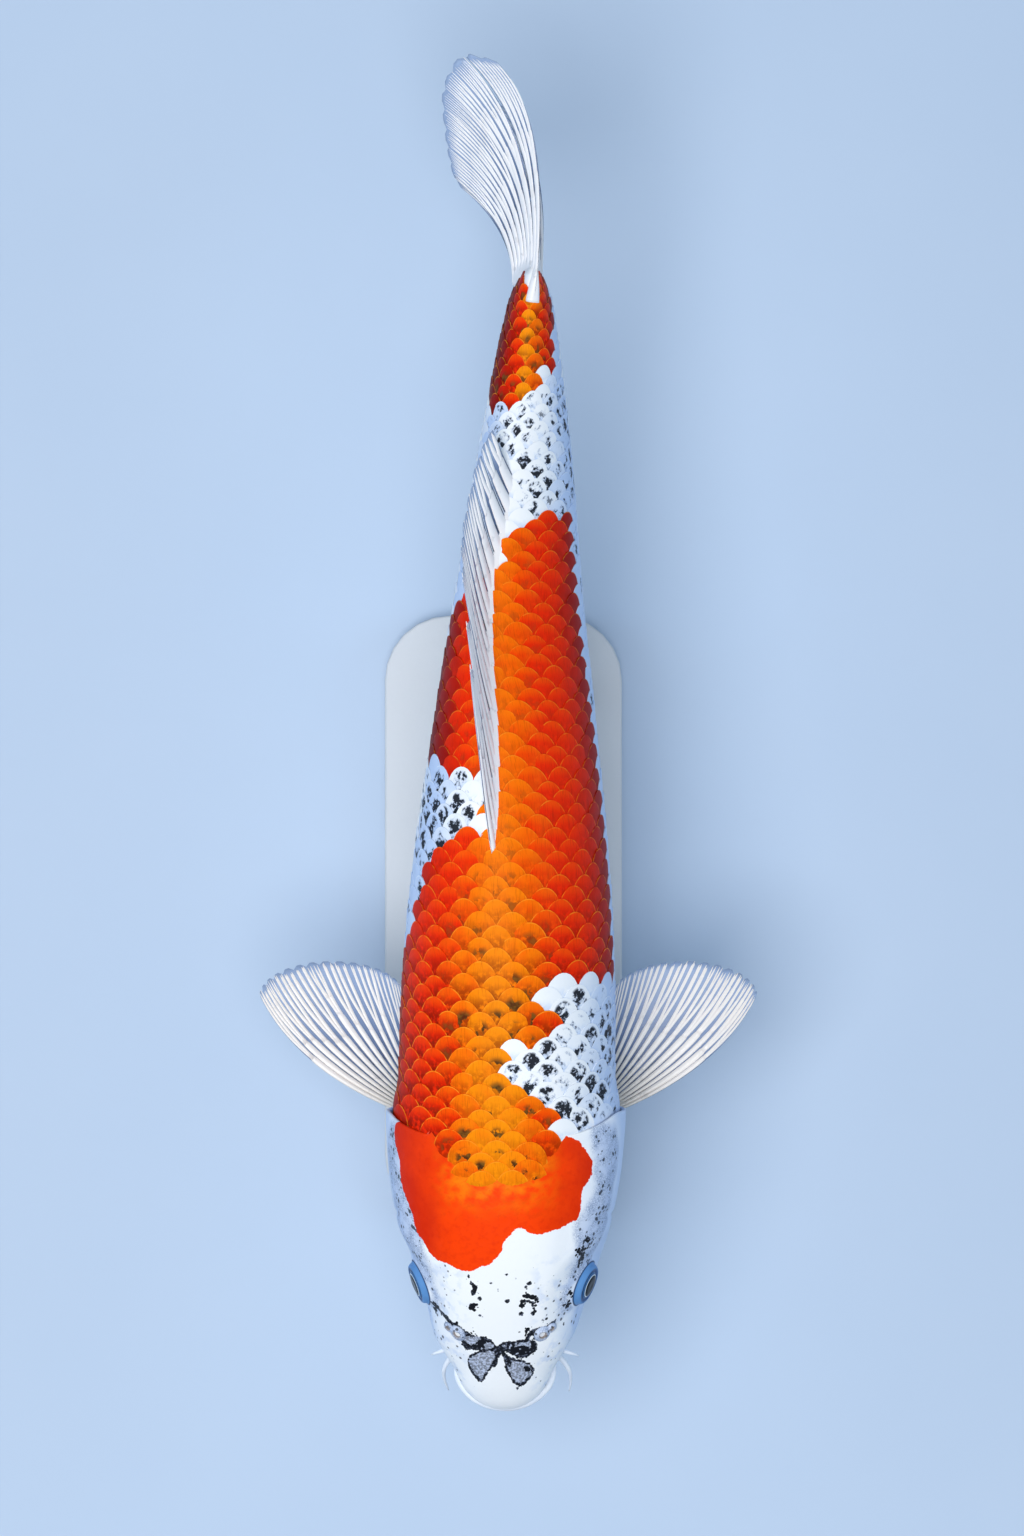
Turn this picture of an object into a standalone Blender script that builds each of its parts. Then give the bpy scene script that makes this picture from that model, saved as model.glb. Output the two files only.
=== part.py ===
"""A life-size koi carp, swimming, on a plain display stand.

Run with: blender --background --python part.py
Metres, +Z up. The head points to -Y and the origin is the middle of the stand's underside, so the
fish's own left is +X. The body is a loft of superellipse sections along a gently bent axis. It is
parted into head, jaw, gill covers, trunk and tail stalk by cuts GAP wide, and each fin is a surface
through its own rays, thickened with Solidify and cut back from the body.
"""

import math
from functools import partial

import bmesh
import bpy
import numpy as np
from mathutils import Matrix, Vector

# ---------------------------------------------------------------- driving dimensions

GAP = 0.0003  # clearance between neighbouring pieces
BODY_LENGTH = 0.497  # snout tip to the root of the tail fin
STALK_END = 0.504  # the tail stalk thins to an edge between the tail fin's rays
SNOUT_Y = -0.215  # the snout tip; stations are measured back from it
AXIS_HEIGHT = 0.142  # the body axis above the floor
BEND = 0.0124  # how far the axis has swung to the fish's left at the tail root
BEND_POWER = 1.5
AROUND = 30  # points round a body section

# Distance behind the snout, half width, top and underside above the axis, level of the widest point.
PROFILE = (
    (0.000, 0.0000, -0.0080, -0.0080, -0.0080),
    (0.004, 0.0125, 0.0020, -0.0165, -0.0075),
    (0.010, 0.0182, 0.0080, -0.0215, -0.0065),
    (0.019, 0.0224, 0.0150, -0.0275, -0.0050),
    (0.027, 0.0272, 0.0208, -0.0320, -0.0035),
    (0.036, 0.0320, 0.0265, -0.0360, -0.0020),
    (0.054, 0.0393, 0.0365, -0.0430, 0.0010),
    (0.072, 0.0444, 0.0445, -0.0485, 0.0030),
    (0.098, 0.0480, 0.0530, -0.0550, 0.0045),
    (0.124, 0.0480, 0.0600, -0.0600, 0.0050),
    (0.160, 0.0478, 0.0665, -0.0635, 0.0055),
    (0.200, 0.0466, 0.0700, -0.0650, 0.0060),
    (0.248, 0.0426, 0.0690, -0.0635, 0.0060),
    (0.310, 0.0346, 0.0590, -0.0560, 0.0050),
    (0.363, 0.0270, 0.0475, -0.0450, 0.0030),
    (0.416, 0.0214, 0.0360, -0.0335, 0.0010),
    (0.460, 0.0156, 0.0295, -0.0285, 0.0000),
    (0.480, 0.0121, 0.0295, -0.0290, 0.0000),
    (0.496, 0.0080, 0.0310, -0.0310, 0.0000),
    (0.504, 0.0036, 0.0300, -0.0300, 0.0000),
)
# Distance behind the snout, and how far the section there banks to the fish's right, in degrees.
ROLL = (
    (0.000, 4.0),
    (0.120, 4.0),
    (0.200, 4.8),
    (0.260, 7.0),
    (0.300, 9.0),
    (0.335, 12.0),
    (0.370, 13.5),
    (0.410, 11.5),
    (0.450, 4.0),
    (0.504, 0.0),
)
ROUNDNESS = ((0.0, 2.1), (0.06, 2.35), (0.13, 2.2), (0.25, 2.05), (0.504, 2.0))  # section exponent

HEAD_END = 0.118
GILL_FLARE = 0.0050  # the gill covers stand this far out from the body behind them
GILL_START, GILL_END = 0.080, 0.134
GILL_LOW, GILL_HIGH = -0.043, 0.036
GILL_THICKNESS = 0.0032
TRUNK_JOINTS = (0.235, 0.350, 0.440)  # front, middle, rear of the trunk, then the tail stalk
EYE_RADIUS, EYE_STATION, EYE_OUT, EYE_UP = 0.0095, 0.0575, 0.0335, 0.0098
LIP_RADIUS = 0.0023
NOSTRIL_STATION, NOSTRIL_ANGLE = 0.0362, 35
NOSTRIL_SIZE = (0.0036, 0.0042, 0.0022)
DORSAL_START, DORSAL_BASE = 0.2415, 0.168
PECTORAL_LENGTHS = (0.0322, 0.0152)  # half axes of the ellipse that the breast fin's tips lie on
BASE_SIZE = (0.110, 0.280, 0.012)
BASE_CORNER = 0.030
ROD_RADIUS = 0.0040
ROD_STATIONS = {"front": 0.150, "rear": 0.320}
PAD_RADIUS, PAD_HEIGHT = 0.011, 0.012

# Tips of the tail lobe's rays: how far to the fish's right, and back, for rays from the inner one.
TAIL_EDGE_OUT = ((0.0, -0.0350), (0.3, -0.0385), (0.6, -0.0388), (0.8, -0.0310), (1.0, -0.0165))
TAIL_EDGE_BACK = ((0.0, 0.0490), (0.3, 0.0660), (0.6, 0.0870), (0.8, 0.0978), (1.0, 0.0945))

COLOURS = {
    "skin": ((0.86, 0.88, 0.92), 0.35),
    "red_skin": ((0.80, 0.16, 0.03), 0.35),
    "fin": ((0.82, 0.82, 0.84), 0.45),
    "eye": ((0.02, 0.02, 0.03), 0.08),
    "stand": ((0.78, 0.79, 0.80), 0.45),
    "steel": ((0.62, 0.63, 0.65), 0.30),
}

# ---------------------------------------------------------------- scene and materials


def clear_scene():
    for obj in list(bpy.data.objects):
        bpy.data.objects.remove(obj)


def new_collection(name):
    found = bpy.data.collections.new(name)
    bpy.context.scene.collection.children.link(found)
    return found


def make_material(name):
    colour, roughness = COLOURS[name]
    material = bpy.data.materials.new(name)
    material.use_nodes = True
    shader = material.node_tree.nodes["Principled BSDF"]
    shader.inputs["Base Color"].default_value = (*colour, 1)
    shader.inputs["Roughness"].default_value = roughness
    shader.inputs["Metallic"].default_value = 0.9 if name == "steel" else 0.0
    return material


def add_part(name, mesh, material):
    obj = bpy.data.objects.new(name, mesh)
    mesh.materials.clear()
    mesh.materials.append(MATERIALS[material])
    mesh.shade_smooth()
    mesh.set_sharp_from_angle(angle=math.radians(40))
    PARTS.objects.link(obj)
    return obj


def add_cutter(name, mesh):
    obj = bpy.data.objects.new(name, mesh)
    obj.hide_render = True
    obj.display_type = "WIRE"
    CUTTERS.objects.link(obj)
    return obj


def boolean(obj, other, operation):
    modifier = obj.modifiers.new(f"{operation.lower()} {other.name}", "BOOLEAN")
    modifier.operation = operation
    modifier.solver = "EXACT"
    modifier.object = other


def evaluated_mesh(obj):
    """A mesh of obj as its modifiers leave it, with loose caps welded."""
    bpy.context.view_layer.update()
    graph = bpy.context.evaluated_depsgraph_get()
    mesh = bpy.data.meshes.new_from_object(obj.evaluated_get(graph))
    mesh.transform(obj.matrix_world)
    edit = bmesh.new()
    edit.from_mesh(mesh)
    bmesh.ops.remove_doubles(edit, verts=edit.verts, dist=0.00001)
    bmesh.ops.recalc_face_normals(edit, faces=edit.faces)
    edit.to_mesh(mesh)
    edit.free()
    return mesh


# ---------------------------------------------------------------- the body's shape


def smooth_curve(rows, at, root=False):
    """The value at a station on a smooth curve through (station, value) rows. With root, the curve
    is drawn over the square root of the station, which rounds the snout."""
    x = np.array([row[0] for row in rows])
    y = np.array([row[1] for row in rows])
    if root:
        x, at = np.sqrt(x), np.sqrt(max(at, 0.0))
    slope = np.gradient(y, x)
    i = int(np.clip(np.searchsorted(x, at) - 1, 0, len(x) - 2))
    width = x[i + 1] - x[i]
    t = (at - x[i]) / width
    return float(
        (2 * t**3 - 3 * t**2 + 1) * y[i]
        + (t**3 - 2 * t**2 + t) * width * slope[i]
        + (3 * t**2 - 2 * t**3) * y[i + 1]
        + (t**3 - t**2) * width * slope[i + 1]
    )


def profile(station, column):
    return smooth_curve([(row[0], row[column]) for row in PROFILE], station, root=True)


def axis_point(station):
    swing = BEND * (max(station, 0.0) / BODY_LENGTH) ** BEND_POWER
    return Vector((swing, SNOUT_Y + station, AXIS_HEIGHT))


def flare(station):
    """How far the gill covers stand out, rising from nothing at the cheek."""
    rise = np.clip((station - 0.070) / (GILL_END - 0.070), 0.0, 1.0)
    return GILL_FLARE * rise * rise * (3 - 2 * rise)


def body_point(station, angle, grow=0.0, flared=False):
    """A point on the body. The angle runs from 0 on the back, over the fish's left, to pi on the
    belly. grow moves the surface out, and flared adds the gill covers' width."""
    half = profile(station, 1) + (flare(station) if flared else 0.0)
    middle = profile(station, 4)
    across, along = math.sin(angle), math.cos(angle)
    reach = profile(station, 2) - middle if along > 0 else middle - profile(station, 3)
    power = 2 / smooth_curve(ROUNDNESS, station)
    x = math.copysign(abs(across) ** power, across) * (half + grow)
    z = math.copysign(abs(along) ** power, along) * (reach + grow) + middle
    return axis_point(station) + rolled(station, x, z)


def rolled(station, x, z):
    """Offsets from the axis, banked so that the back leans to the fish's right."""
    bank = math.radians(smooth_curve(ROLL, station))
    return Vector(
        (x * math.cos(bank) - z * math.sin(bank), 0, x * math.sin(bank) + z * math.cos(bank))
    )


def body_loft(name, start, end, count, grow=0.0, flared=False, turn=0.0):
    """A closed loft of body sections from one station to another. turn shifts the points round the
    section, so that neighbouring lofts share no edges."""
    rows = []
    for i in range(count + 1):
        share = i / count
        if start <= 0.0:  # closer sections where the snout rounds over
            share = share**1.7
        rows.append(max(start + (end - start) * share, 0.0004))
    angles = [2 * math.pi * j / AROUND + turn for j in range(AROUND)]
    points = [body_point(station, a, grow, flared) for station in rows for a in angles]
    faces = []
    for i in range(count):
        for j in range(AROUND):
            k = (j + 1) % AROUND
            a, b = i * AROUND, (i + 1) * AROUND
            faces.append((a + j, a + k, b + k, b + j))
    faces.append(tuple(reversed(range(AROUND))))
    faces.append(tuple(count * AROUND + j for j in range(AROUND)))
    mesh = bpy.data.meshes.new(name)
    mesh.from_pydata(points, [], faces)
    edit = bmesh.new()
    edit.from_mesh(mesh)
    bmesh.ops.recalc_face_normals(edit, faces=edit.faces)
    edit.to_mesh(mesh)
    edit.free()
    return mesh


def loft_cutter(name, start, end, count, grow, **options):
    return add_cutter(name, body_loft(name, start, end, count, grow, **options))


def side_prism(name, outline, inner, outer, side=1):
    """A prism across X from an outline of (station, height above the axis) points."""
    curve = bpy.data.curves.new(name, "CURVE")
    curve.dimensions = "2D"
    curve.fill_mode = "BOTH"
    curve.extrude = (outer - inner) / 2
    spline = curve.splines.new("POLY")
    spline.points.add(len(outline) - 1)
    for point, (station, height) in zip(spline.points, outline):
        point.co = (station, height, 0, 1)
    spline.use_cyclic_u = True
    obj = bpy.data.objects.new(name, curve)
    CUTTERS.objects.link(obj)
    centre = Vector((side * (inner + outer) / 2, SNOUT_Y, AXIS_HEIGHT))
    turn = Matrix(((0, 0, 1), (1, 0, 0), (0, 1, 0))).to_4x4()
    obj.matrix_world = Matrix.Translation(centre) @ turn
    mesh = evaluated_mesh(obj)
    bpy.data.objects.remove(obj)
    return add_cutter(name, mesh)


# ---------------------------------------------------------------- head, jaw and gill covers


def gill_outline(margin):
    """The gill cover in side view: a D with a rounded rear edge."""
    middle = (GILL_LOW + GILL_HIGH) / 2
    reach = (GILL_HIGH - GILL_LOW) / 2 + margin
    back = GILL_END - GILL_START
    front = GILL_START - margin
    outline = [(front, middle - reach * 0.72), (front, middle + reach * 0.72)]
    for i in range(13):
        turn = math.pi / 2 - math.pi * i / 12
        x = GILL_START + back * (0.30 + 0.70 * math.cos(turn)) + margin
        outline.append((x, middle + reach * math.sin(turn)))
    return outline


def jaw_outline(margin):
    """The lower jaw in side view, below the mouth line."""
    return [
        (-0.010, -0.0105 + margin),
        (0.012, -0.0120 + margin),
        (0.022 + margin, -0.0145 + margin),
        (0.046 + margin, -0.0700),
        (-0.010, -0.0700),
    ]


def build_head():
    head = add_part("head", body_loft("head", 0.0, HEAD_END, 18, flared=True), "skin")
    jaw = add_part("lower_jaw", body_loft("lower_jaw", 0.0, 0.060, 12, flared=True), "skin")
    boolean(jaw, side_prism("jaw_shape", jaw_outline(0.0), -0.06, 0.06), "INTERSECT")
    boolean(head, side_prism("jaw_clearance", jaw_outline(GAP), -0.07, 0.07), "DIFFERENCE")
    inside = -GILL_THICKNESS
    core = loft_cutter("gill_core", 0.060, 0.150, 12, inside, flared=True, turn=0.01)
    bed_core = loft_cutter("gill_bed_core", 0.055, 0.155, 12, inside - GAP, flared=True, turn=0.02)
    trunk_room = loft_cutter("trunk_room", 0.100, 0.170, 10, GAP, turn=0.03)
    for side, word in ((1, "left"), (-1, "right")):
        cover = add_part(
            f"gill_cover_{word}", body_loft("gill_cover", 0.065, 0.145, 14, flared=True), "skin"
        )
        shape = side_prism(f"gill_shape_{word}", gill_outline(0.0), 0.020, 0.070, side)
        boolean(cover, shape, "INTERSECT")
        boolean(cover, core, "DIFFERENCE")
        boolean(cover, trunk_room, "DIFFERENCE")
        bed = side_prism(f"gill_bed_{word}", gill_outline(GAP), 0.018, 0.072, side)
        boolean(bed, bed_core, "DIFFERENCE")
        boolean(head, bed, "DIFFERENCE")
    return head


def build_eyes(head):
    for side, word in ((1, "left"), (-1, "right")):
        at = axis_point(EYE_STATION) + rolled(EYE_STATION, side * EYE_OUT, EYE_UP)
        for name, radius in ((f"eye_{word}", EYE_RADIUS), (f"socket_{word}", EYE_RADIUS + GAP)):
            mesh = bpy.data.meshes.new(name)
            edit = bmesh.new()
            bmesh.ops.create_uvsphere(edit, u_segments=16, v_segments=10, radius=radius)
            edit.to_mesh(mesh)
            edit.free()
            mesh.transform(Matrix.Translation(at) @ Matrix.Rotation(math.pi / 2, 4, "Y"))
            if name.startswith("eye"):
                add_part(name, mesh, "eye")
            else:
                boolean(head, add_cutter(name, mesh), "DIFFERENCE")


def tapered_tube(name, points, radius, tip_share, material, guard):
    """A feeler: a curve through points, thinning to its tip, cut back from the head."""
    curve = bpy.data.curves.new(name, "CURVE")
    curve.dimensions = "3D"
    curve.bevel_depth = radius
    curve.bevel_resolution = 2
    curve.use_fill_caps = True
    curve.resolution_u = 2
    spline = curve.splines.new("NURBS")
    spline.points.add(len(points) - 1)
    spline.order_u = 3
    spline.use_endpoint_u = True
    for i, (point, at) in enumerate(zip(spline.points, points)):
        point.co = (*at, 1)
        point.radius = 1 - (1 - tip_share) * i / (len(points) - 1)
    obj = bpy.data.objects.new(name + "_curve", curve)
    CUTTERS.objects.link(obj)
    mesh = evaluated_mesh(obj)
    bpy.data.objects.remove(obj)
    part = add_part(name, mesh, material)
    boolean(part, guard, "DIFFERENCE")
    return part


def lip_point(turn):
    """A point on the upper lip's centre line, an ellipse round the snout: 0 is the fish's left
    corner of the mouth and pi its right one."""
    station = 0.0187 - (0.0204 - LIP_RADIUS) * math.sin(turn)
    out = (0.0238 - LIP_RADIUS) * math.cos(turn)
    return axis_point(station) + rolled(station, out, -0.0125 + 0.0020 * math.sin(turn))


def build_mouth_and_nose():
    guard = loft_cutter("head_guard", 0.0, 0.09, 18, GAP, flared=True, turn=0.04)
    lip = [lip_point(math.radians(turn)) for turn in range(-18, 199, 24)]
    tapered_tube("upper_lip", lip, LIP_RADIUS, 1.0, "skin", guard)
    for side, word in ((1, "left"), (-1, "right")):

        def place(station, out, up, side=side):
            return axis_point(station) + rolled(station, side * out, up)

        corner = [
            place(0.0250, 0.0205, -0.0130),
            place(0.0215, 0.0250, -0.0160),
            place(0.0160, 0.0280, -0.0215),
            place(0.0105, 0.0282, -0.0290),
            place(0.0055, 0.0272, -0.0365),
        ]
        tapered_tube(f"barbel_long_{word}", corner, 0.0015, 0.25, "fin", guard)
        upper = [
            place(0.0275, 0.0230, -0.0050),
            place(0.0258, 0.0280, -0.0062),
            place(0.0246, 0.0312, -0.0085),
            place(0.0238, 0.0326, -0.0120),
        ]
        tapered_tube(f"barbel_short_{word}", upper, 0.0011, 0.35, "fin", guard)
        mesh = bpy.data.meshes.new("nostril")
        edit = bmesh.new()
        bmesh.ops.create_uvsphere(edit, u_segments=12, v_segments=6, radius=1.0)
        edit.to_mesh(mesh)
        edit.free()
        at = body_point(NOSTRIL_STATION, side * math.radians(NOSTRIL_ANGLE))
        mesh.transform(Matrix.Translation(at) @ Matrix.Diagonal((*NOSTRIL_SIZE, 1)))
        flap = add_part(f"nostril_{word}", mesh, "skin")
        boolean(flap, guard, "DIFFERENCE")


# ---------------------------------------------------------------- trunk


def build_trunk():
    names = ("trunk_front", "trunk_middle", "trunk_rear", "tail_stalk")
    stations = (HEAD_END, *TRUNK_JOINTS, STALK_END)
    for name, start, end in zip(names, stations, stations[1:]):
        sections = round((end - start) / 0.018) + 2
        material = "skin" if name == "trunk_rear" else "red_skin"
        add_part(name, body_loft(name, start + GAP, end, sections), material)


# ---------------------------------------------------------------- fins


def bezier(a, b, c, t):
    return a * (1 - t) ** 2 + b * (2 * t * (1 - t)) + c * t**2


def dorsal_ray(t, r):
    """Ray t of the folded back fin, from the front spine at 0, at the share r of its length. It is
    swept back along the body and leans to the fish's right."""
    root = body_point(DORSAL_START + DORSAL_BASE * t, -0.075 * math.sin(math.pi * t), -0.003)
    sweep = 0.0875 - 0.0625 * t
    lean = 0.0105 - 0.0030 * t - 0.0025 * t**8
    rise = 0.021 - 0.012 * t
    return root + Vector((-lean * r**1.2, sweep * r, rise * math.sin(r * math.pi / 2)))


def tail_ray(t, r, upper=True):
    """Ray t of a tail lobe, from the inner ray at 0 to the leading edge at 1. The lobes cup to the
    fish's right, so that they are seen from above."""
    size = 1.0 if upper else 0.93
    root = Vector((-0.0080 + 0.0128 * t, 0.0020 - 0.0040 * t, 0))
    bow = Vector((-0.0089 + 0.0200 * t, 0.0286 + 0.0430 * t, 0))
    edge = Vector((smooth_curve(TAIL_EDGE_OUT, t), smooth_curve(TAIL_EDGE_BACK, t), 0))
    flat = bezier(root, bow * size, edge * size, r)
    if upper:
        rise = -0.0010 + 0.0300 * t + r * (0.003 + 0.019 * t)
    else:
        flat.x += 0.0012 * t
        rise = -0.0030 - 0.0270 * t - r * (0.003 + 0.030 * t)
    return axis_point(BODY_LENGTH) + flat + Vector((0, 0, rise))


def pectoral_ray(t, r, side):
    """Ray t of a breast fin, from the leading edge at 0. The tips lie on an ellipse, and the front
    rays bow forward. The fin spreads level behind the gill cover."""
    turn = math.radians(170) * t
    root = Vector((0.0400 - 0.0030 * t, 0.1310 + 0.0070 * t, -0.0290 - 0.0050 * t))
    tip = Vector((0.0797, 0.1835, -0.0340 - 0.0060 * t))
    tip.x += PECTORAL_LENGTHS[0] * math.cos(turn)
    tip.y += PECTORAL_LENGTHS[1] * math.sin(turn)
    bow = Vector((0.0185, -0.0085, 0.003)) * (1 - t) ** 1.5
    flat = bezier(root, (root + tip) / 2 + bow, tip, r)
    return axis_point(0.165) + Vector((side * flat.x, flat.y - 0.165, flat.z))


def pelvic_ray(t, r, side):
    """Ray t of a belly fin, from its leading edge at 0, trailing back and down."""
    root = body_point(0.243 + 0.010 * t, side * math.radians(158), -0.003)
    tip = Vector((side * (0.014 - 0.009 * t), 0.046 - 0.014 * t, -0.026 + 0.006 * t))
    sag = Vector((0, 0, -0.004 * math.sin(math.pi * r)))
    return root + tip * r + sag


def anal_ray(t, r):
    """Ray t of the fin under the tail, from the front spine at 0."""
    root = body_point(0.383 + 0.030 * t, math.pi, -0.003)
    tip = Vector((0.003, 0.034 - 0.014 * t, -0.034 + 0.017 * t))
    return root + tip * r + Vector((0, 0.004 * math.sin(math.pi * r), 0))


def build_fin(name, ray, across, along, root_thickness, edge_thickness, guard):
    """A fin: a grid of points along its rays, thickened about its middle, thicker at the root."""
    points = [ray(i / across, j / along) for i in range(across + 1) for j in range(along + 1)]
    faces = []
    for i in range(across):
        for j in range(along):
            a = i * (along + 1) + j
            faces.append((a, a + along + 1, a + along + 2, a + 1))
    mesh = bpy.data.meshes.new(name)
    mesh.from_pydata(points, [], faces)
    fin = add_part(name, mesh, "fin")
    weights = fin.vertex_groups.new(name="thickness")
    for i in range(across + 1):
        for j in range(along + 1):
            weights.add([i * (along + 1) + j], 1 - j / along, "REPLACE")
    shell = fin.modifiers.new("thickness", "SOLIDIFY")
    shell.thickness = root_thickness
    shell.offset = 0.0
    shell.vertex_group = "thickness"
    shell.thickness_vertex_group = edge_thickness / root_thickness
    boolean(fin, guard, "DIFFERENCE")


def build_fins():
    guard = loft_cutter("body_guard", 0.110, STALK_END + GAP, 30, GAP, turn=0.05)
    build_fin("fin_dorsal", dorsal_ray, 14, 5, 0.0026, 0.0008, guard)
    build_fin("fin_anal", anal_ray, 6, 4, 0.0022, 0.0007, guard)
    stalk_guard = loft_cutter("stalk_guard", TRUNK_JOINTS[-1], STALK_END + GAP, 18, GAP, turn=0.05)
    build_fin("fin_tail_upper", tail_ray, 10, 8, 0.0034, 0.0008, stalk_guard)
    build_fin("fin_tail_lower", partial(tail_ray, upper=False), 10, 8, 0.0034, 0.0008, stalk_guard)
    for side, word in ((1, "left"), (-1, "right")):
        breast, belly = partial(pectoral_ray, side=side), partial(pelvic_ray, side=side)
        build_fin(f"fin_pectoral_{word}", breast, 11, 6, 0.0028, 0.0008, guard)
        build_fin(f"fin_pelvic_{word}", belly, 6, 4, 0.0022, 0.0007, guard)


# ---------------------------------------------------------------- stand


def rounded_plate(name, width, length, height, corner):
    """A flat plate with round corners: a filled curve, extruded."""
    curve = bpy.data.curves.new(name, "CURVE")
    curve.dimensions = "2D"
    curve.fill_mode = "BOTH"
    curve.extrude = height / 2
    spline = curve.splines.new("POLY")
    steps = 6
    outline = []
    for quarter in range(4):
        centre = Vector((width / 2 - corner, length / 2 - corner))
        centre.x *= (1, -1, -1, 1)[quarter]
        centre.y *= (1, 1, -1, -1)[quarter]
        for i in range(steps + 1):
            turn = math.pi / 2 * (quarter + i / steps)
            outline.append(centre + corner * Vector((math.cos(turn), math.sin(turn))))
    spline.points.add(len(outline) - 1)
    for point, at in zip(spline.points, outline):
        point.co = (at.x, at.y, height / 2, 1)
    spline.use_cyclic_u = True
    obj = bpy.data.objects.new(name + "_curve", curve)
    CUTTERS.objects.link(obj)
    mesh = evaluated_mesh(obj)
    bpy.data.objects.remove(obj)
    return mesh


def cylinder(radius, low, high, at, segments=20):
    mesh = bpy.data.meshes.new("cylinder")
    edit = bmesh.new()
    bmesh.ops.create_cone(
        edit, cap_ends=True, segments=segments, radius1=radius, radius2=radius, depth=high - low
    )
    edit.to_mesh(mesh)
    edit.free()
    mesh.transform(Matrix.Translation((at.x, at.y, (low + high) / 2)))
    return mesh


def build_stand():
    width, length, height = BASE_SIZE
    plate = rounded_plate("stand_base", width, length, height, BASE_CORNER)
    base = add_part("stand_base", plate, "stand")
    bevel = base.modifiers.new("edge", "BEVEL")
    bevel.width = 0.002
    bevel.segments = 2
    bevel.limit_method = "ANGLE"
    guard = loft_cutter("belly_guard", 0.120, 0.360, 30, 1.5 * GAP, turn=0.06)
    for word, station in ROD_STATIONS.items():
        belly = body_point(station, math.pi)
        foot = height + GAP
        low = belly.z - PAD_HEIGHT
        add_part(f"stand_rod_{word}", cylinder(ROD_RADIUS, foot, low - GAP, belly), "steel")
        pad = cylinder(PAD_RADIUS, low, belly.z + 0.006, belly)
        boolean(add_part(f"stand_pad_{word}", pad, "stand"), guard, "DIFFERENCE")


# ---------------------------------------------------------------- build

clear_scene()
PARTS = new_collection("koi_carp")
CUTTERS = new_collection("cutters")
MATERIALS = {name: make_material(name) for name in COLOURS}

build_eyes(build_head())
build_mouth_and_nose()
build_trunk()
build_fins()
build_stand()
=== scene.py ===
"""The looks of a life-size koi carp on its display stand: skin, scales, fins, eyes and stage.

Every piece is a surface worked out with numpy in the frame of the solids: metres, +Z up, head to -Y,
the fish's own left at +X. A place on the body is a station, the distance behind the snout, and a
girth, the distance round the section from the middle of the back, positive over the fish's left.
"""

import math

import bpy
import numpy as np
from bpy.props import FloatProperty, FloatVectorProperty, IntProperty, PointerProperty
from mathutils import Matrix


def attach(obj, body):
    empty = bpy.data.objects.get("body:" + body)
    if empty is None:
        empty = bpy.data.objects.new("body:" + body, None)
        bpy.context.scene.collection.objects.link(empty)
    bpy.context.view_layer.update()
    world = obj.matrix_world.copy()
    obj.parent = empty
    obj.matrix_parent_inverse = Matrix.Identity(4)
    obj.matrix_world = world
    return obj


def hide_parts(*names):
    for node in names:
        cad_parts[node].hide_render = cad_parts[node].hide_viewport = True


bl_info = {
    "name": "Koi Carp Model",
    "version": (1, 0, 0),
    "blender": (4, 5, 0),
    "location": "View3D > Sidebar > Koi",
    "description": "Builds the skin, scales, fins, eyes and stage of a life-size koi carp",
    "category": "Add Mesh",
}

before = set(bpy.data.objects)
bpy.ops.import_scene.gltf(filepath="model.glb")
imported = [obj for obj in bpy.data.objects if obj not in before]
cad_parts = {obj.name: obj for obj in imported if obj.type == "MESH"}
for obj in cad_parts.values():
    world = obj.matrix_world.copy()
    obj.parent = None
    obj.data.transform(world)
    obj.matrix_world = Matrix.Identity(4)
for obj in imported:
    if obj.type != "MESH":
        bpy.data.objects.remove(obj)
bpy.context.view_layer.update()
MM = 0.001
SEED = 7
SIDES = (("left", 1), ("right", -1))

# ---------------------------------------------------------------- the body's shape, as the solids have it

BODY_LENGTH = 0.497
STALK_END = 0.504
SNOUT_Y = -0.215
AXIS_HEIGHT = 0.142
BEND, BEND_POWER = 0.0124, 1.5
# Station, half width, top, underside above the axis, level of the widest point.
PROFILE = (
    (0.000, 0.0000, -0.0080, -0.0080, -0.0080),
    (0.004, 0.0125, 0.0020, -0.0165, -0.0075),
    (0.010, 0.0182, 0.0080, -0.0215, -0.0065),
    (0.019, 0.0224, 0.0150, -0.0275, -0.0050),
    (0.027, 0.0272, 0.0208, -0.0320, -0.0035),
    (0.036, 0.0320, 0.0265, -0.0360, -0.0020),
    (0.054, 0.0393, 0.0365, -0.0430, 0.0010),
    (0.072, 0.0444, 0.0445, -0.0485, 0.0030),
    (0.098, 0.0480, 0.0530, -0.0550, 0.0045),
    (0.124, 0.0480, 0.0600, -0.0600, 0.0050),
    (0.160, 0.0478, 0.0665, -0.0635, 0.0055),
    (0.200, 0.0466, 0.0700, -0.0650, 0.0060),
    (0.248, 0.0426, 0.0690, -0.0635, 0.0060),
    (0.310, 0.0346, 0.0590, -0.0560, 0.0050),
    (0.363, 0.0270, 0.0475, -0.0450, 0.0030),
    (0.416, 0.0214, 0.0360, -0.0335, 0.0010),
    (0.460, 0.0156, 0.0295, -0.0285, 0.0000),
    (0.480, 0.0121, 0.0295, -0.0290, 0.0000),
    (0.496, 0.0080, 0.0310, -0.0310, 0.0000),
    (0.504, 0.0036, 0.0300, -0.0300, 0.0000),
)
ROLL = (  # station, degrees of bank
    (0.000, 4.0), (0.120, 4.0), (0.200, 4.8), (0.260, 7.0), (0.300, 9.0),
    (0.335, 12.0), (0.370, 13.5), (0.410, 11.5), (0.450, 4.0), (0.504, 0.0),
)  # fmt: skip
ROUNDNESS = ((0.0, 2.1), (0.06, 2.35), (0.13, 2.2), (0.25, 2.05), (0.504, 2.0))
GILL_FLARE, FLARE_START, GILL_END = 0.0050, 0.070, 0.134
EYE_RADIUS, EYE_STATION, EYE_OUT, EYE_UP = 0.0095, 0.0590, 0.0328, 0.0098
LIP_RADIUS = 0.0023
MOUTH_LEVEL = -0.0137
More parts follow.
